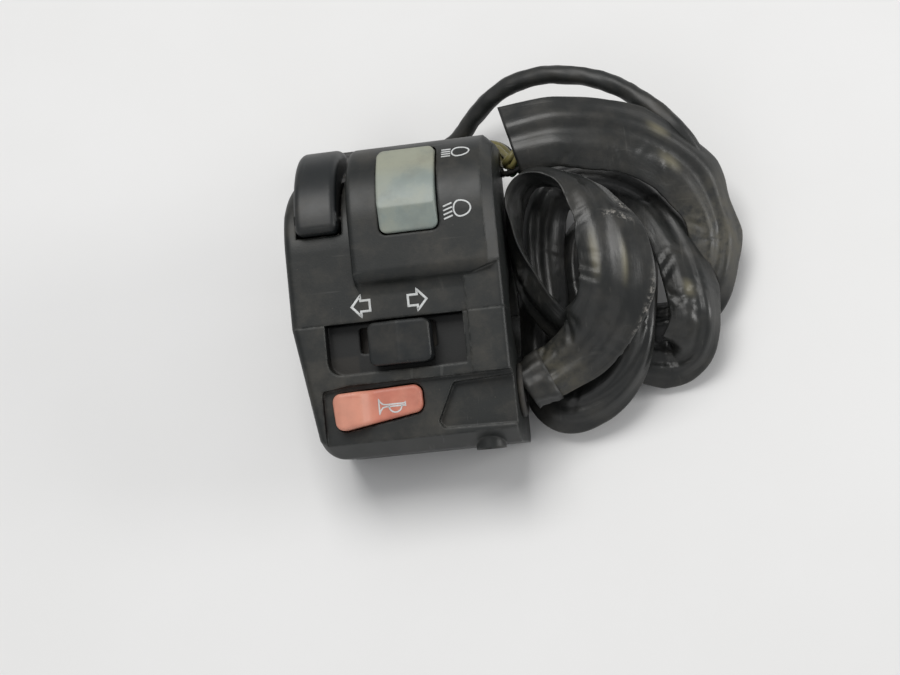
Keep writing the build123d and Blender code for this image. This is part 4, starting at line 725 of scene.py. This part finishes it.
def marks_on(run, across, top):
    """How much rubbing, tape, slit and painted highlight there is at a place on the sheath."""
    found = {"rub": 0.0, "tape": 0.0, "slit": 0.0, "painted_highlight": 0.0}
    for kind, centre, place, slant, reach, spread in SHEATH_PATCHES:
        along = run / MM - centre - slant * (across - place)
        amount = bump_at(along, 0.0, reach) * bump_at(across, place, spread)
        if kind != "tape":
            amount *= top
        found[kind] = max(found[kind], amount)
    return found["rub"], found["tape"], found["slit"], found["painted_highlight"]


# How far along a crease is looked for and how far beside it; then the half width of its
# groove, and the place and half width of the lip beside the groove
CREASE_NEAR, CREASE_BESIDE = 0.009, 0.0022
GROOVE_WIDTH, LIP_PLACE, LIP_WIDTH = 0.0009, 0.0013, 0.0008
# Widths of the two ridges that the wires raise, as shares of half the sheath's width
RIDGE_WIDTHS = (0.36, 0.42)
# How much of the open end is cut at a slant, and the least gap over the table
SLANTED_END = 9 * MM
SHEATH_GAP, TUBE_GAP = 0.0001, 0.00005
SHEATH_SIDES = 56


def swept_sheath(line, sizes):
    """A flattened tube along the line, as a bmesh: thin edges, ridges where the wires lie in
    it, folds and sharp corners, and a UV map in metres."""
    ring = SHEATH_SIDES
    ways, runs = directions(line), runs_of(line)
    faces, widths, thicks = sheath_sections(line, ways, runs)
    creases = sheath_creases(runs[-1])
    bm = bmesh.new()
    uv = bm.loops.layers.uv.new("length_and_girth")
    colour = bm.verts.layers.float_color.new("marks")
    rings = []
    for index, (point, way, up, run) in enumerate(zip(line, ways, faces, runs)):
        side = way.cross(up).normalized()
        bend = ways[min(len(ways) - 1, index + 5)] - ways[max(0, index - 5)]
        tight = min(1.0, bend.length / 0.5)
        inward = bend.normalized() if bend.length > 1e-6 else up
        width = widths[index] / 2 * sizes.width_share
        thick = thicks[index] / 2 * sizes.thickness_share
        width *= 1 + 0.05 * waver(run * 60, 3.0, 1.0)
        drift = 0.34 * waver(run * 16, 8.0, 2.0)
        spacing = 0.34 + 0.10 * waver(run * 22, 1.0, 6.0)
        near = [crease for crease in creases if abs(crease[0] - run) < CREASE_NEAR]
        verts = []
        for step in range(ring):
            angle = 2 * math.pi * step / ring
            c, s = math.cos(angle), math.sin(angle)
            share = math.sqrt(abs(s))
            ridges = max(math.exp(-((c - drift - spacing) / RIDGE_WIDTHS[0]) ** 2),
                         0.9 * math.exp(-((c - drift + spacing) / RIDGE_WIDTHS[1]) ** 2))
            height = math.copysign(0.40 * abs(s) + 0.60 * ridges * share, s) * thick
            across = math.copysign(abs(c) ** 0.92, c) * width
            for centre, edge, rise, reach in SHEATH_CORNERS:
                if edge * c > 0:
                    peak = max(0.0, 1 - abs(run / MM - centre) / reach)
                    across += edge * rise * MM * peak * c * c
            spot = side * across + up * height
            radial = (side * c * 0.35 + up * s).normalized()
            inner = max(0.0, (side * c + up * s).dot(inward))
            offset = 0.5 * waver(run * 70, c * 1.3, s * 1.3 + 7.0)
            offset += tight * (0.1 + 0.6 * inner) * waver(run * 240, c * 1.3 + 3.0, s * 1.3)
            for centre, place, slant, reach, depth, face in near:
                if face * s < 0:
                    continue
                along, over = run - centre, (c - place) * width
                off = abs(along * math.cos(slant) + over * math.sin(slant))
                length = abs(over * math.cos(slant) - along * math.sin(slant))
                if length < reach and off < CREASE_BESIDE:
                    fade = (1 - (length / reach) ** 2) * depth * (0.45 + 0.3 * tight)
                    offset -= fade * max(0.0, 1 - off / GROOVE_WIDTH)
                    offset += 0.45 * fade * max(0.0, 1 - abs(off - LIP_PLACE) / LIP_WIDTH)
            oblique = max(0.0, 1 - (runs[-1] - run) / SLANTED_END) * (1 - c) * MM
            place = point + spot + radial * offset * sizes.wrinkle - way * oblique
            place.z = max(place.z, TABLE_Z + SHEATH_GAP)
            vert = bm.verts.new(place)
            # The marks hold rub, tape and slit, and in their alpha a painted highlight
            vert[colour] = marks_on(run, c, 1.0 if s > 0 else 0.0)
            verts.append(vert)
        rings.append((run, verts))
    girth = 2.4 * widths[len(widths) // 2]
    for (run_a, ring_a), (run_b, ring_b) in zip(rings, rings[1:]):
        for step in range(ring):
            following = (step + 1) % ring
            face = bm.faces.new((ring_a[step], ring_a[following], ring_b[following], ring_b[step]))
            share = (step / ring, (step + 1) / ring)
            corners = ((run_a, share[0]), (run_a, share[1]), (run_b, share[1]), (run_b, share[0]))
            for loop, (length, part) in zip(face.loops, corners):
                loop[uv].uv = (length, part * girth)
    for (run, ring_verts), flip in ((rings[0], True), (rings[-1], False)):
        middle = bm.verts.new(sum((v.co for v in ring_verts), Vector()) / ring)
        for step in range(ring):
            pair = (ring_verts[step], ring_verts[(step + 1) % ring])
            bm.faces.new((middle, *(reversed(pair) if flip else pair)))
    return bm


class CLUSTER_OT_sheath(bpy.types.Operator):
    """Lays the flattened vinyl sheath in its loose turns"""
    bl_idname = "cluster.sheath"
    bl_label = "Lay the sheath"

    def execute(self, context):
        sizes = context.scene.cluster_harness
        line = evenly(line_of(turn_points()), SHEATH_STEP)
        sheath = finished("sheath", swept_sheath(line, sizes), ["sheath"], "housing",
                          "sheath_vinyl", "harness_coil")
        return {"FINISHED"}


def swept_tube(bm, line, radius, ring=10, shade=0, squash=1.0, ruffle=0.0):
    """Adds a closed round tube along a line to bm, with a steady roll, in material shade."""
    ways = directions(line)
    side = ways[0].cross(Vector((0, 0, 1))).normalized()
    rings = []
    for index, (point, way) in enumerate(zip(line, ways)):
        side = (side - way * side.dot(way)).normalized()
        up = way.cross(side)
        verts = []
        for step in range(ring):
            angle = 2 * math.pi * step / ring
            reach = radius
            if ruffle:
                reach += ruffle * waver(index * 0.35, math.cos(angle) * 1.4,
                                        math.sin(angle) * 1.4 + radius * 9000)
            place = (point + (side * math.cos(angle) * reach
                              + up * math.sin(angle) * reach * squash))
            place.z = max(place.z, TABLE_Z + TUBE_GAP)
            verts.append(bm.verts.new(place))
        rings.append(verts)
    loft(bm, rings, shade=shade)


# The wires at the sheath's end: the colour of the middle one, then of those round it; their
# twist in radians a metre, their distance from the middle as a share of a wire's radius, and
# how far they spread, most of all WIRE_LOOSE from the sheath's end
WIRE_ORDER = ("black", "yellow", "yellow", "black", "green", "black", "yellow")
WIRE_TWIST, WIRE_PITCH, WIRE_SPREAD = 60, 1.18, 1.9
WIRE_LOOSE, WIRE_GATHERED = 0.008, 0.004


class CLUSTER_OT_wires(bpy.types.Operator):
    """Runs the loose wires from the sheath's end, and the side branch in its thin sleeve"""
    bl_idname = "cluster.wires"
    bl_label = "Run the wires"

    def execute(self, context):
        sizes = context.scene.cluster_harness
        line = evenly(line_of([Vector(point) * MM for point in MAIN_WIRES]), WIRE_STEP)
        ways, runs = directions(line), runs_of(line)
        bm = bmesh.new()
        radius = sizes.wire_diameter / 2
        for wire in range(len(WIRE_ORDER)):
            angle = 2 * math.pi * wire / (len(WIRE_ORDER) - 1)
            reach = 0.0 if wire == 0 else radius * WIRE_PITCH
            points = []
            for point, way, run in zip(line, ways, runs):
                side = way.cross(Vector((0.1, 0.2, 1))).normalized()
                up = side.cross(way)
                turn = angle + run * WIRE_TWIST
                spread = (WIRE_SPREAD * bump_at(run, WIRE_LOOSE, 2 * WIRE_LOOSE)
                          * (1 if wire % 2 else 0.4) * min(1.0, run / WIRE_GATHERED))
                shift = (side * math.cos(turn) + up * math.sin(turn)) * reach
                points.append(point + shift * (1 + spread))
            swept_tube(bm, points, radius, ring=8, shade=wire)
        wires = finished("main_wire_bundle", bm, ["wire_" + name for name in WIRE_ORDER],
                         "housing", "wire_vinyl", "main_wires")
        line = evenly(line_of([Vector(point) * MM for point in BRANCH]), WIRE_STEP)
        bm = bmesh.new()
        swept_tube(bm, line, sizes.branch_diameter / 2, ring=20, ruffle=0.00035, squash=0.86)
        branch = finished("branch_sleeve", bm, ["sleeve"], "housing", "sheath_vinyl",
                          "branch_lead")
        return {"FINISHED"}


# Printed signs, drawn on the housing's face: along the bar and up the face, in millimetres

def arc(cx, cy, radius, start, end, count=12, tall=1.0):
    """Points round an arc, from one angle to the other in degrees."""
    return [(cx + radius * math.cos(math.radians(start + (end - start) * i / count)),
             cy + tall * radius * math.sin(math.radians(start + (end - start) * i / count)))
            for i in range(count + 1)]


def lamp_sign(cx, cy, width, height, droop):
    """A headlamp sign: a lamp's outline with its beam to the left, level or drooping."""
    lamp = width * 0.62
    left = cx + width / 2 - lamp
    middle = left + lamp * 0.35
    outline = arc(middle, cy, lamp * 0.65, -90, 90, 16, height / (lamp * 1.3))
    outline += arc(middle, cy, lamp * 0.35, 90, 270, 12, height / (lamp * 0.7))[1:-1]
    strokes = [(outline, True)]
    for share in (-0.36, -0.12, 0.12, 0.36):
        y = cy + share * height * 1.1
        strokes.append(([(left - width * 0.05, y), (cx - width / 2, y - droop)], False))
    return strokes


def arrow_sign(cx, cy, width, height, way):
    """A hollow arrow that points left or right."""
    tip, neck, tail = way * width / 2, 0.0, -way * width / 2
    half, shaft = height / 2, height * 0.26
    return [([(cx + tip, cy), (cx + neck, cy + half), (cx + neck, cy + shaft),
              (cx + tail, cy + shaft), (cx + tail, cy - shaft), (cx + neck, cy - shaft),
              (cx + neck, cy - half)], True)]


def horn_sign(cx, cy, width, height):
    """A bugle: its bell to the left, a tube and one loop under it."""
    left, right = cx - width / 2, cx + width / 2
    high, low = cy + height * 0.10, cy - height * 0.04
    bell = [(left, cy + height * 0.48), (left + width * 0.05, cy + height * 0.30),
            (left + width * 0.14, high + height * 0.04), (left + width * 0.26, high),
            (right - width * 0.03, high), (right, high + height * 0.05),
            (right, low - height * 0.02), (right - width * 0.03, low),
            (left + width * 0.26, low), (left + width * 0.14, low - height * 0.05),
            (left + width * 0.05, cy - height * 0.26), (left, cy - height * 0.48)]
    loop = arc(cx + width * 0.12, cy - height * 0.06, height * 0.42, 15, -195, 16, 0.92)
    return [(bell, True), (loop, False)]


SIGNS = (
    ("sign_high_beam", "upper_case", "housing", lamp_sign(17.6, 39.4, 6.9, 2.45, 0.0), 0.36),
    ("sign_low_beam", "upper_case", "housing", lamp_sign(17.45, 24.5, 6.7, 3.9, 0.7), 0.38),
    ("sign_left_arrow", "upper_case", "housing", arrow_sign(-9.0, 3.8, 4.5, 5.1, -1), 0.56),
    ("sign_right_arrow", "upper_case", "housing", arrow_sign(5.1, 3.9, 4.55, 5.1, 1), 0.56),
    ("sign_horn", "horn_button", "horn", horn_sign(-3.65, -21.2, 6.5, 3.7), 0.36),
)
SIGN_LIFT = 0.00004
SIGN_STEP = 0.35


def stroke_mesh(bm, points, closed, width, surface):
    """Lays one stroke on a surface as a thin raised strip that follows it."""
    if closed:
        points = points + [points[0]]
    line = [Vector(point) for point in points]
    runs = []
    for a, b in zip(line, line[1:]):
        count = max(1, math.ceil((b - a).length / SIGN_STEP))
        runs += [a.lerp(b, i / count) for i in range(count)]
    if not closed:
        runs.append(line[-1])
    pairs = []
    for index, spot in enumerate(runs):
        if closed:
            before, after = runs[index - 1], runs[(index + 1) % len(runs)]
        else:
            before, after = runs[max(0, index - 1)], runs[min(len(runs) - 1, index + 1)]
        arriving, leaving = (spot - before), (after - spot)
        arriving = arriving.normalized() if arriving.length > 1e-9 else leaving.normalized()
        leaving = leaving.normalized() if leaving.length > 1e-9 else arriving
        way = (arriving + leaving).normalized()
        side = Vector((-way.y, way.x))
        spread = 1 / max(0.55, side.dot(Vector((-leaving.y, leaving.x))))
        pair = []
        for sign in (-1, 1):
            flat = spot + side * sign * width / 2 * spread
            start = HOUSING @ Vector((flat.x * MM, flat.y * MM, 0.05))
            hit, normal, _, _ = surface.ray_cast(start, HOUSING.to_3x3() @ Vector((0, 0, -1)))
            if hit is None:
                raise RuntimeError("a printed sign misses the surface it is printed on")
            pair.append((hit - normal * SIGN_LIFT, hit + normal * SIGN_LIFT))
        pairs.append(pair)
    rings = [[bm.verts.new(corner) for corner in (
        pair[0][0], pair[1][0], pair[1][1], pair[0][1])] for pair in pairs]
    loft(bm, rings, looped=closed)


class CLUSTER_OT_signs(bpy.types.Operator):
    """Prints the generic signs for the beams, the turn signals and the horn"""
    bl_idname = "cluster.signs"
    bl_label = "Print the signs"

    def execute(self, context):
        for name, node, body, strokes, width in SIGNS:
            source = NODES[node].data
            surface = BVHTree.FromPolygons([v.co for v in source.vertices],
                                           [p.vertices for p in source.polygons])
            bm = bmesh.new()
            for points, closed in strokes:
                stroke_mesh(bm, points, closed, width, surface)
            slot = "case_plastic" if body == "housing" else "horn_plastic"
            finished(name, bm, ["print"], body, slot, smooth=False)
        return {"FINISHED"}


# Screws, made by one node tree

THREAD_PITCH_SHARE = 0.36
SCREW_SIZES = (("Head radius", 0.0021), ("Head height", 0.0013), ("Shank radius", 0.00095),
               ("Shank length", 0.004), ("Thread pitch", 0.0007))
# Each set: node, head radius, head height, shank radius, shank length, then each screw's seat
# and the way its head faces, in the housing's own directions
SCREWS = (
    ("case_screws", 2.75, 2.2, 1.95, 34.5, (((18.7, -25.0, 14.9), (0, -1, 0)),)),
    ("case_screws", 2.75, 2.2, 1.95, 11.0, (((-10.0, -3.5, -14.8), (0, -1, 0)),)),
    ("dimmer_base_screws", 2.1, 1.3, 0.95, 3.8,
     (((-5.0, 27.5, 3.4), (0, 0, 1)), ((15.7, 27.5, 3.4), (0, 0, 1)))),
    ("pass_base_screw", 2.1, 1.3, 0.95, 3.2, (((-17.85, 23.4, 1.4), (0, 0, 1)),)),
    ("turn_base_screws", 2.1, 1.3, 0.95, 4.4,
     (((-12.5, -12.2, 13.1), (0, 0, -1)), ((12.5, -12.2, 13.1), (0, 0, -1)))),
    ("horn_base_screws", 2.1, 1.3, 0.95, 4.4,
     (((7.0, -18.6, 7.7), (0, 0, -1)), ((-3.0, -28.3, 7.7), (0, 0, -1)))),
    ("clip_screw", 2.1, 1.3, 0.95, 4.6, (((17.5, -26.0, 3.85), (0, 0, 1)),)),
)


def raised(tree, geometry, height):
    """Moves a shape along its own axis."""
    up = new_node(tree, "ShaderNodeCombineXYZ", Z=height)
    return new_node(tree, "GeometryNodeTransform", Geometry=geometry,
                    Translation=up.outputs[0]).outputs["Geometry"]


def cone(tree, sides, bottom, top, depth):
    return new_node(tree, "GeometryNodeMeshCone", Vertices=sides, Radius_Bottom=bottom,
                    Radius_Top=top, Depth=depth).outputs["Mesh"]


def screw_tree(material):
    """A pan head screw with a crossed recess and a thread, on every point of its geometry."""
    tree = bpy.data.node_groups.new("pan_head_screw", "GeometryNodeTree")
    sockets = tree.interface
    sockets.new_socket("Geometry", in_out="INPUT", socket_type="NodeSocketGeometry")
    for label, value in SCREW_SIZES:
        socket = sockets.new_socket(label, in_out="INPUT", socket_type="NodeSocketFloat")
        socket.default_value = value
        socket.subtype = "DISTANCE"
    sockets.new_socket("Geometry", in_out="OUTPUT", socket_type="NodeSocketGeometry")
    start, end = tree.nodes.new("NodeGroupInput"), tree.nodes.new("NodeGroupOutput")
    seats, head_radius, head_height, shank_radius, shank_length, pitch = start.outputs[:6]
    lip = times(tree, head_height, 0.55)
    lower = cone(tree, 40, head_radius, head_radius, lip)
    upper = cone(tree, 40, head_radius, times(tree, head_radius, 0.72),
                 times(tree, head_height, 0.45))
    head = new_node(tree, "GeometryNodeMeshBoolean", {"operation": "UNION", "solver": "EXACT"})
    for part in (lower, raised(tree, upper, lip)):
        feed(tree, head.inputs["Mesh 2"], part)
    cut = new_node(tree, "GeometryNodeMeshBoolean",
                   {"operation": "DIFFERENCE", "solver": "EXACT"}, Mesh_1=head.outputs["Mesh"])
    long_way, short_way = times(tree, head_radius, 1.05), times(tree, head_radius, 0.24)
    for across, along in ((long_way, short_way), (short_way, long_way)):
        size = new_node(tree, "ShaderNodeCombineXYZ", X=across, Y=along, Z=head_height)
        arm = new_node(tree, "GeometryNodeMeshCube", Size=size.outputs[0])
        feed(tree, cut.inputs["Mesh 2"], raised(tree, arm.outputs["Mesh"], head_height))
    joined = new_node(tree, "GeometryNodeJoinGeometry", Geometry=cut.outputs["Mesh"])
    root = times(tree, shank_radius, 0.86)
    threaded = maths(tree, "MINIMUM", shank_length, times(tree, shank_radius, 7.0))
    spiral = new_node(tree, "GeometryNodeCurveSpiral", Resolution=20, Start_Radius=root,
                      End_Radius=root, Height=threaded,
                      Rotations=maths(tree, "DIVIDE", threaded, pitch))
    ridge = new_node(tree, "GeometryNodeCurvePrimitiveCircle", Resolution=4,
                     Radius=times(tree, shank_radius, 0.13))
    thread = new_node(tree, "GeometryNodeCurveToMesh", Curve=spiral.outputs["Curve"],
                      Profile_Curve=ridge.outputs["Curve"], Fill_Caps=True)
    for shape in (cone(tree, 24, root, root, shank_length), thread.outputs["Mesh"]):
        feed(tree, joined.inputs["Geometry"],
             raised(tree, shape, times(tree, shank_length, -1.0)))
    facing = new_node(tree, "GeometryNodeInputNamedAttribute", {"data_type": "FLOAT_VECTOR"},
                      Name="facing")
    turned = new_node(tree, "FunctionNodeAlignRotationToVector", {"axis": "Z"},
                      Vector=facing.outputs["Attribute"])
    placed = new_node(tree, "GeometryNodeInstanceOnPoints", Points=seats,
                      Instance=joined.outputs["Geometry"], Rotation=turned.outputs["Rotation"])
    real = new_node(tree, "GeometryNodeRealizeInstances", Geometry=placed.outputs["Instances"])
    finish = new_node(tree, "GeometryNodeSetMaterial", Geometry=real.outputs["Geometry"],
                      Material=material)
    feed(tree, end.inputs["Geometry"], finish.outputs["Geometry"])
    return tree


class CLUSTER_OT_screws(bpy.types.Operator):
    """Turns the plain screws into pan head screws with a crossed recess and a thread"""
    bl_idname = "cluster.screws"
    bl_label = "Drive the screws"

    def execute(self, context):
        tree = screw_tree(MATERIALS["steel"])
        sockets = {item.name: item.identifier for item in tree.interface.items_tree
                   if item.in_out == "INPUT"}
        by_node = {}
        for node, head, height, shank, length, places in SCREWS:
            mesh = bpy.data.meshes.new(node + "_seats")
            mesh.from_pydata([HOUSING @ (Vector(seat) * MM) for seat, _ in places], [], [])
            facing = mesh.attributes.new("facing", "FLOAT_VECTOR", "POINT")
            for index, (_, way) in enumerate(places):
                facing.data[index].vector = HOUSING.to_3x3() @ Vector(way)
            obj = link(bpy.data.objects.new(node + "_made", mesh))
            modifier = obj.modifiers.new("screws", "NODES")
            modifier.node_group = tree
            sizes = (head, height, shank, length, THREAD_PITCH_SHARE * shank)
            for (label, _), size in zip(SCREW_SIZES, sizes):
                modifier[sockets[label]] = size * MM
            by_node.setdefault(node, []).append(baked(obj))
        for node, made in by_node.items():
            bm = bmesh.new()
            for obj in made:
                bm.from_mesh(obj.data)
            for obj in made:
                bpy.data.objects.remove(obj)
            screws = mesh_object(node + "_dressed", bm, smooth=False)
            paint(screws, MATERIALS["steel"])
            dress(screws, "housing", "screw_steel", node)
        return {"FINISHED"}


# The grommet's turned profile: along the bar, and out from its own axis, in millimetres
GROMMET_PROFILE = ((22.75, 3.45), (22.75, 6.1), (23.1, 6.3), (23.7, 6.3), (23.85, 6.0),
                   (23.85, 5.5), (26.35, 5.5), (26.35, 6.5), (26.6, 6.78), (27.1, 6.78),
                   (27.4, 6.5), (27.75, 6.2), (27.75, 3.45))
GROMMET_AXIS = HOUSING @ Vector((0, -20.0 * MM, 7.0 * MM))
EXIT_SIDES = 48
RELIEF_RINGS = 9
# The short sleeve, in metres: its length, how much it stands out at its start and at its end,
# and the step and height of its spiral rib
RELIEF_LENGTH, RELIEF_THICK, RELIEF_THIN = 0.0072, 0.0010, 0.00025
RIB_STEP, RIB_HEIGHT = 0.0031, 0.00032


class CLUSTER_OT_exit(bpy.types.Operator):
    """Fits the grommet and the short tapered sleeve on the sheath at the harness exit"""
    bl_idname = "cluster.exit"
    bl_label = "Fit the harness exit"

    def execute(self, context):
        angles = [2 * math.pi * step / EXIT_SIDES for step in range(EXIT_SIDES)]
        bm = bmesh.new()
        loft(bm, [[bm.verts.new((x * MM, GROMMET_AXIS.y + radius * MM * math.cos(angle),
                                 GROMMET_AXIS.z + radius * MM * math.sin(angle)))
                   for angle in angles] for x, radius in GROMMET_PROFILE], looped=True)
        finished("grommet_turned", bm, ["rubber"], "housing", "grommet_rubber", "grommet")
        line = evenly(line_of(turn_points()), SHEATH_STEP)
        ways, runs = directions(line), runs_of(line)
        faces, widths, thicks = sheath_sections(line, ways, runs)
        bm = bmesh.new()
        rings = []
        for point, way, up, width, thick, run in zip(line[:RELIEF_RINGS], ways, faces, widths,
                                                     thicks, runs):
            side = way.cross(up).normalized()
            taper = RELIEF_THICK * (1 - run / RELIEF_LENGTH) + RELIEF_THIN
            verts = []
            for step, angle in enumerate(angles):
                turn = (run / RIB_STEP + step / EXIT_SIDES) % 1
                grow = taper + RIB_HEIGHT * turn * turn
                grow += 0.0005 * waver(run * 90, 3 * math.cos(angle), 3 * math.sin(angle))
                grow += 0.0002 * math.sin(9 * angle + run * 350)
                verts.append(bm.verts.new(
                    point + side * math.cos(angle) * (width / 2 + grow)
                    + up * math.sin(angle) * (thick / 2 + grow)))
            rings.append(verts)
        loft(bm, rings)
        finished("strain_relief", bm, ["sleeve"], "housing", "grommet_rubber")
        return {"FINISHED"}


# The camera of the photograph: its place and its aim in millimetres, and its roll
CAMERA_PLACE = Vector((73.324, -201.387, 433.276))
CAMERA_AIM = Vector((7.189, 1.598, -14.3))
CAMERA_ROLL = math.radians(-22.712)
FLOOR_REACH = 1.5
# Each lamp: its place, its size and its share of the large lamp's power
LAMPS = {"sky_panel": ((-0.10, 0.30, 0.95), 0.55, 1.0),
         "window_side": ((0.85, 0.02, 0.30), 0.32, 0.45),
         "front_fill": ((-0.35, -0.75, 0.6), 0.8, 0.14)}
LAMP_WHITE = (1.0, 0.99, 0.97)
ROOM_WHITE, ROOM_STRENGTH = (0.97, 0.98, 1.0, 1.0), 0.40


def set_camera(lens):
    back = (CAMERA_PLACE - CAMERA_AIM).normalized()
    right = Vector((0, 0, 1)).cross(back).normalized()
    up = back.cross(right)
    cosine, sine = math.cos(CAMERA_ROLL), math.sin(CAMERA_ROLL)
    camera = bpy.data.cameras.new("camera")
    camera.lens = lens
    camera.sensor_width = 36.0
    camera.clip_start = 0.01
    holder = link(bpy.data.objects.new("camera", camera))
    axes = (right * cosine + up * sine, up * cosine - right * sine, back, CAMERA_PLACE * MM)
    holder.matrix_world = Matrix([(*row,) for row in zip(*axes)] + [(0, 0, 0, 1)])
    bpy.context.scene.camera = holder


def lay_floor(white):
    """A large pale floor, very slightly cloudy."""
    bm = bmesh.new()
    bmesh.ops.create_grid(bm, x_segments=4, y_segments=4, size=FLOOR_REACH)
    for vert in bm.verts:
        vert.co.z = TABLE_Z
    floor = mesh_object("floor", bm, smooth=False)
    material, tree, shader, coords = new_material("pale_floor")
    cloudy = noise_at(tree, coords["Object"], 9.0, 5.0, 0.6)
    feed(tree, shader["Base Color"], blend_colour(
        tree, ramp(tree, cloudy, 0.3, 0.7), (white * 0.975, white * 0.975, white * 0.97),
        (white, white, white)))
    shader["Roughness"].default_value = 0.6
    paint(floor, material)


class CLUSTER_OT_stage(bpy.types.Operator):
    """Sets the floor, the soft light and the camera at the photograph's angle"""
    bl_idname = "cluster.stage"
    bl_label = "Set the stage"

    def execute(self, context):
        scene = context.scene
        settings = scene.cluster_stage
        set_camera(settings.lens)
        lay_floor(settings.floor_white)
        for name, (place, size, share) in LAMPS.items():
            lamp = bpy.data.lights.new(name, "AREA")
            lamp.shape = "SQUARE"
            lamp.size = size
            lamp.energy = settings.lamp_power * share
            lamp.color = LAMP_WHITE
            holder = link(bpy.data.objects.new(name, lamp))
            holder.location = place
            holder.rotation_euler = (-Vector(place)).to_track_quat("-Z", "Y").to_euler()
        world = bpy.data.worlds.new("room")
        scene.world = world
        world.use_nodes = True
        background = world.node_tree.nodes["Background"].inputs
        background["Color"].default_value = ROOM_WHITE
        background["Strength"].default_value = ROOM_STRENGTH
        scene.view_settings.view_transform = "Standard"
        return {"FINISHED"}


class CLUSTER_PT_panel(bpy.types.Panel):
    """Lists the steps that make the switch cluster"""
    bl_idname = "CLUSTER_PT_panel"
    bl_label = "Switch cluster"
    bl_space_type = "VIEW_3D"
    bl_region_type = "UI"
    bl_category = "Switch cluster"

    def draw(self, context):
        layout = self.layout
        for operator in OPERATORS:
            layout.operator(operator.bl_idname)
        for group in SETTINGS:
            settings = getattr(context.scene, group)
            box = layout.box()
            for name in settings.__annotations__:
                box.prop(settings, name)


OPERATORS = (CLUSTER_OT_stage, CLUSTER_OT_finishes, CLUSTER_OT_sheath, CLUSTER_OT_wires,
             CLUSTER_OT_exit, CLUSTER_OT_signs, CLUSTER_OT_screws)
CLASSES = (HarnessSizes, FinishColours, StageSettings) + OPERATORS + (CLUSTER_PT_panel,)
SETTINGS = {"cluster_harness": HarnessSizes, "cluster_colours": FinishColours,
            "cluster_stage": StageSettings}


def register():
    for cls in CLASSES:
        bpy.utils.register_class(cls)
    for name, group in SETTINGS.items():
        setattr(bpy.types.Scene, name, bpy.props.PointerProperty(type=group))


def unregister():
    for name in SETTINGS:
        delattr(bpy.types.Scene, name)
    for cls in reversed(CLASSES):
        bpy.utils.unregister_class(cls)


def main():
    register()
    bpy.ops.cluster.stage()
    bpy.ops.cluster.finishes()
    bpy.ops.cluster.sheath()
    bpy.ops.cluster.wires()
    bpy.ops.cluster.exit()
    bpy.ops.cluster.signs()
    bpy.ops.cluster.screws()


if __name__ == "__main__":
    main()
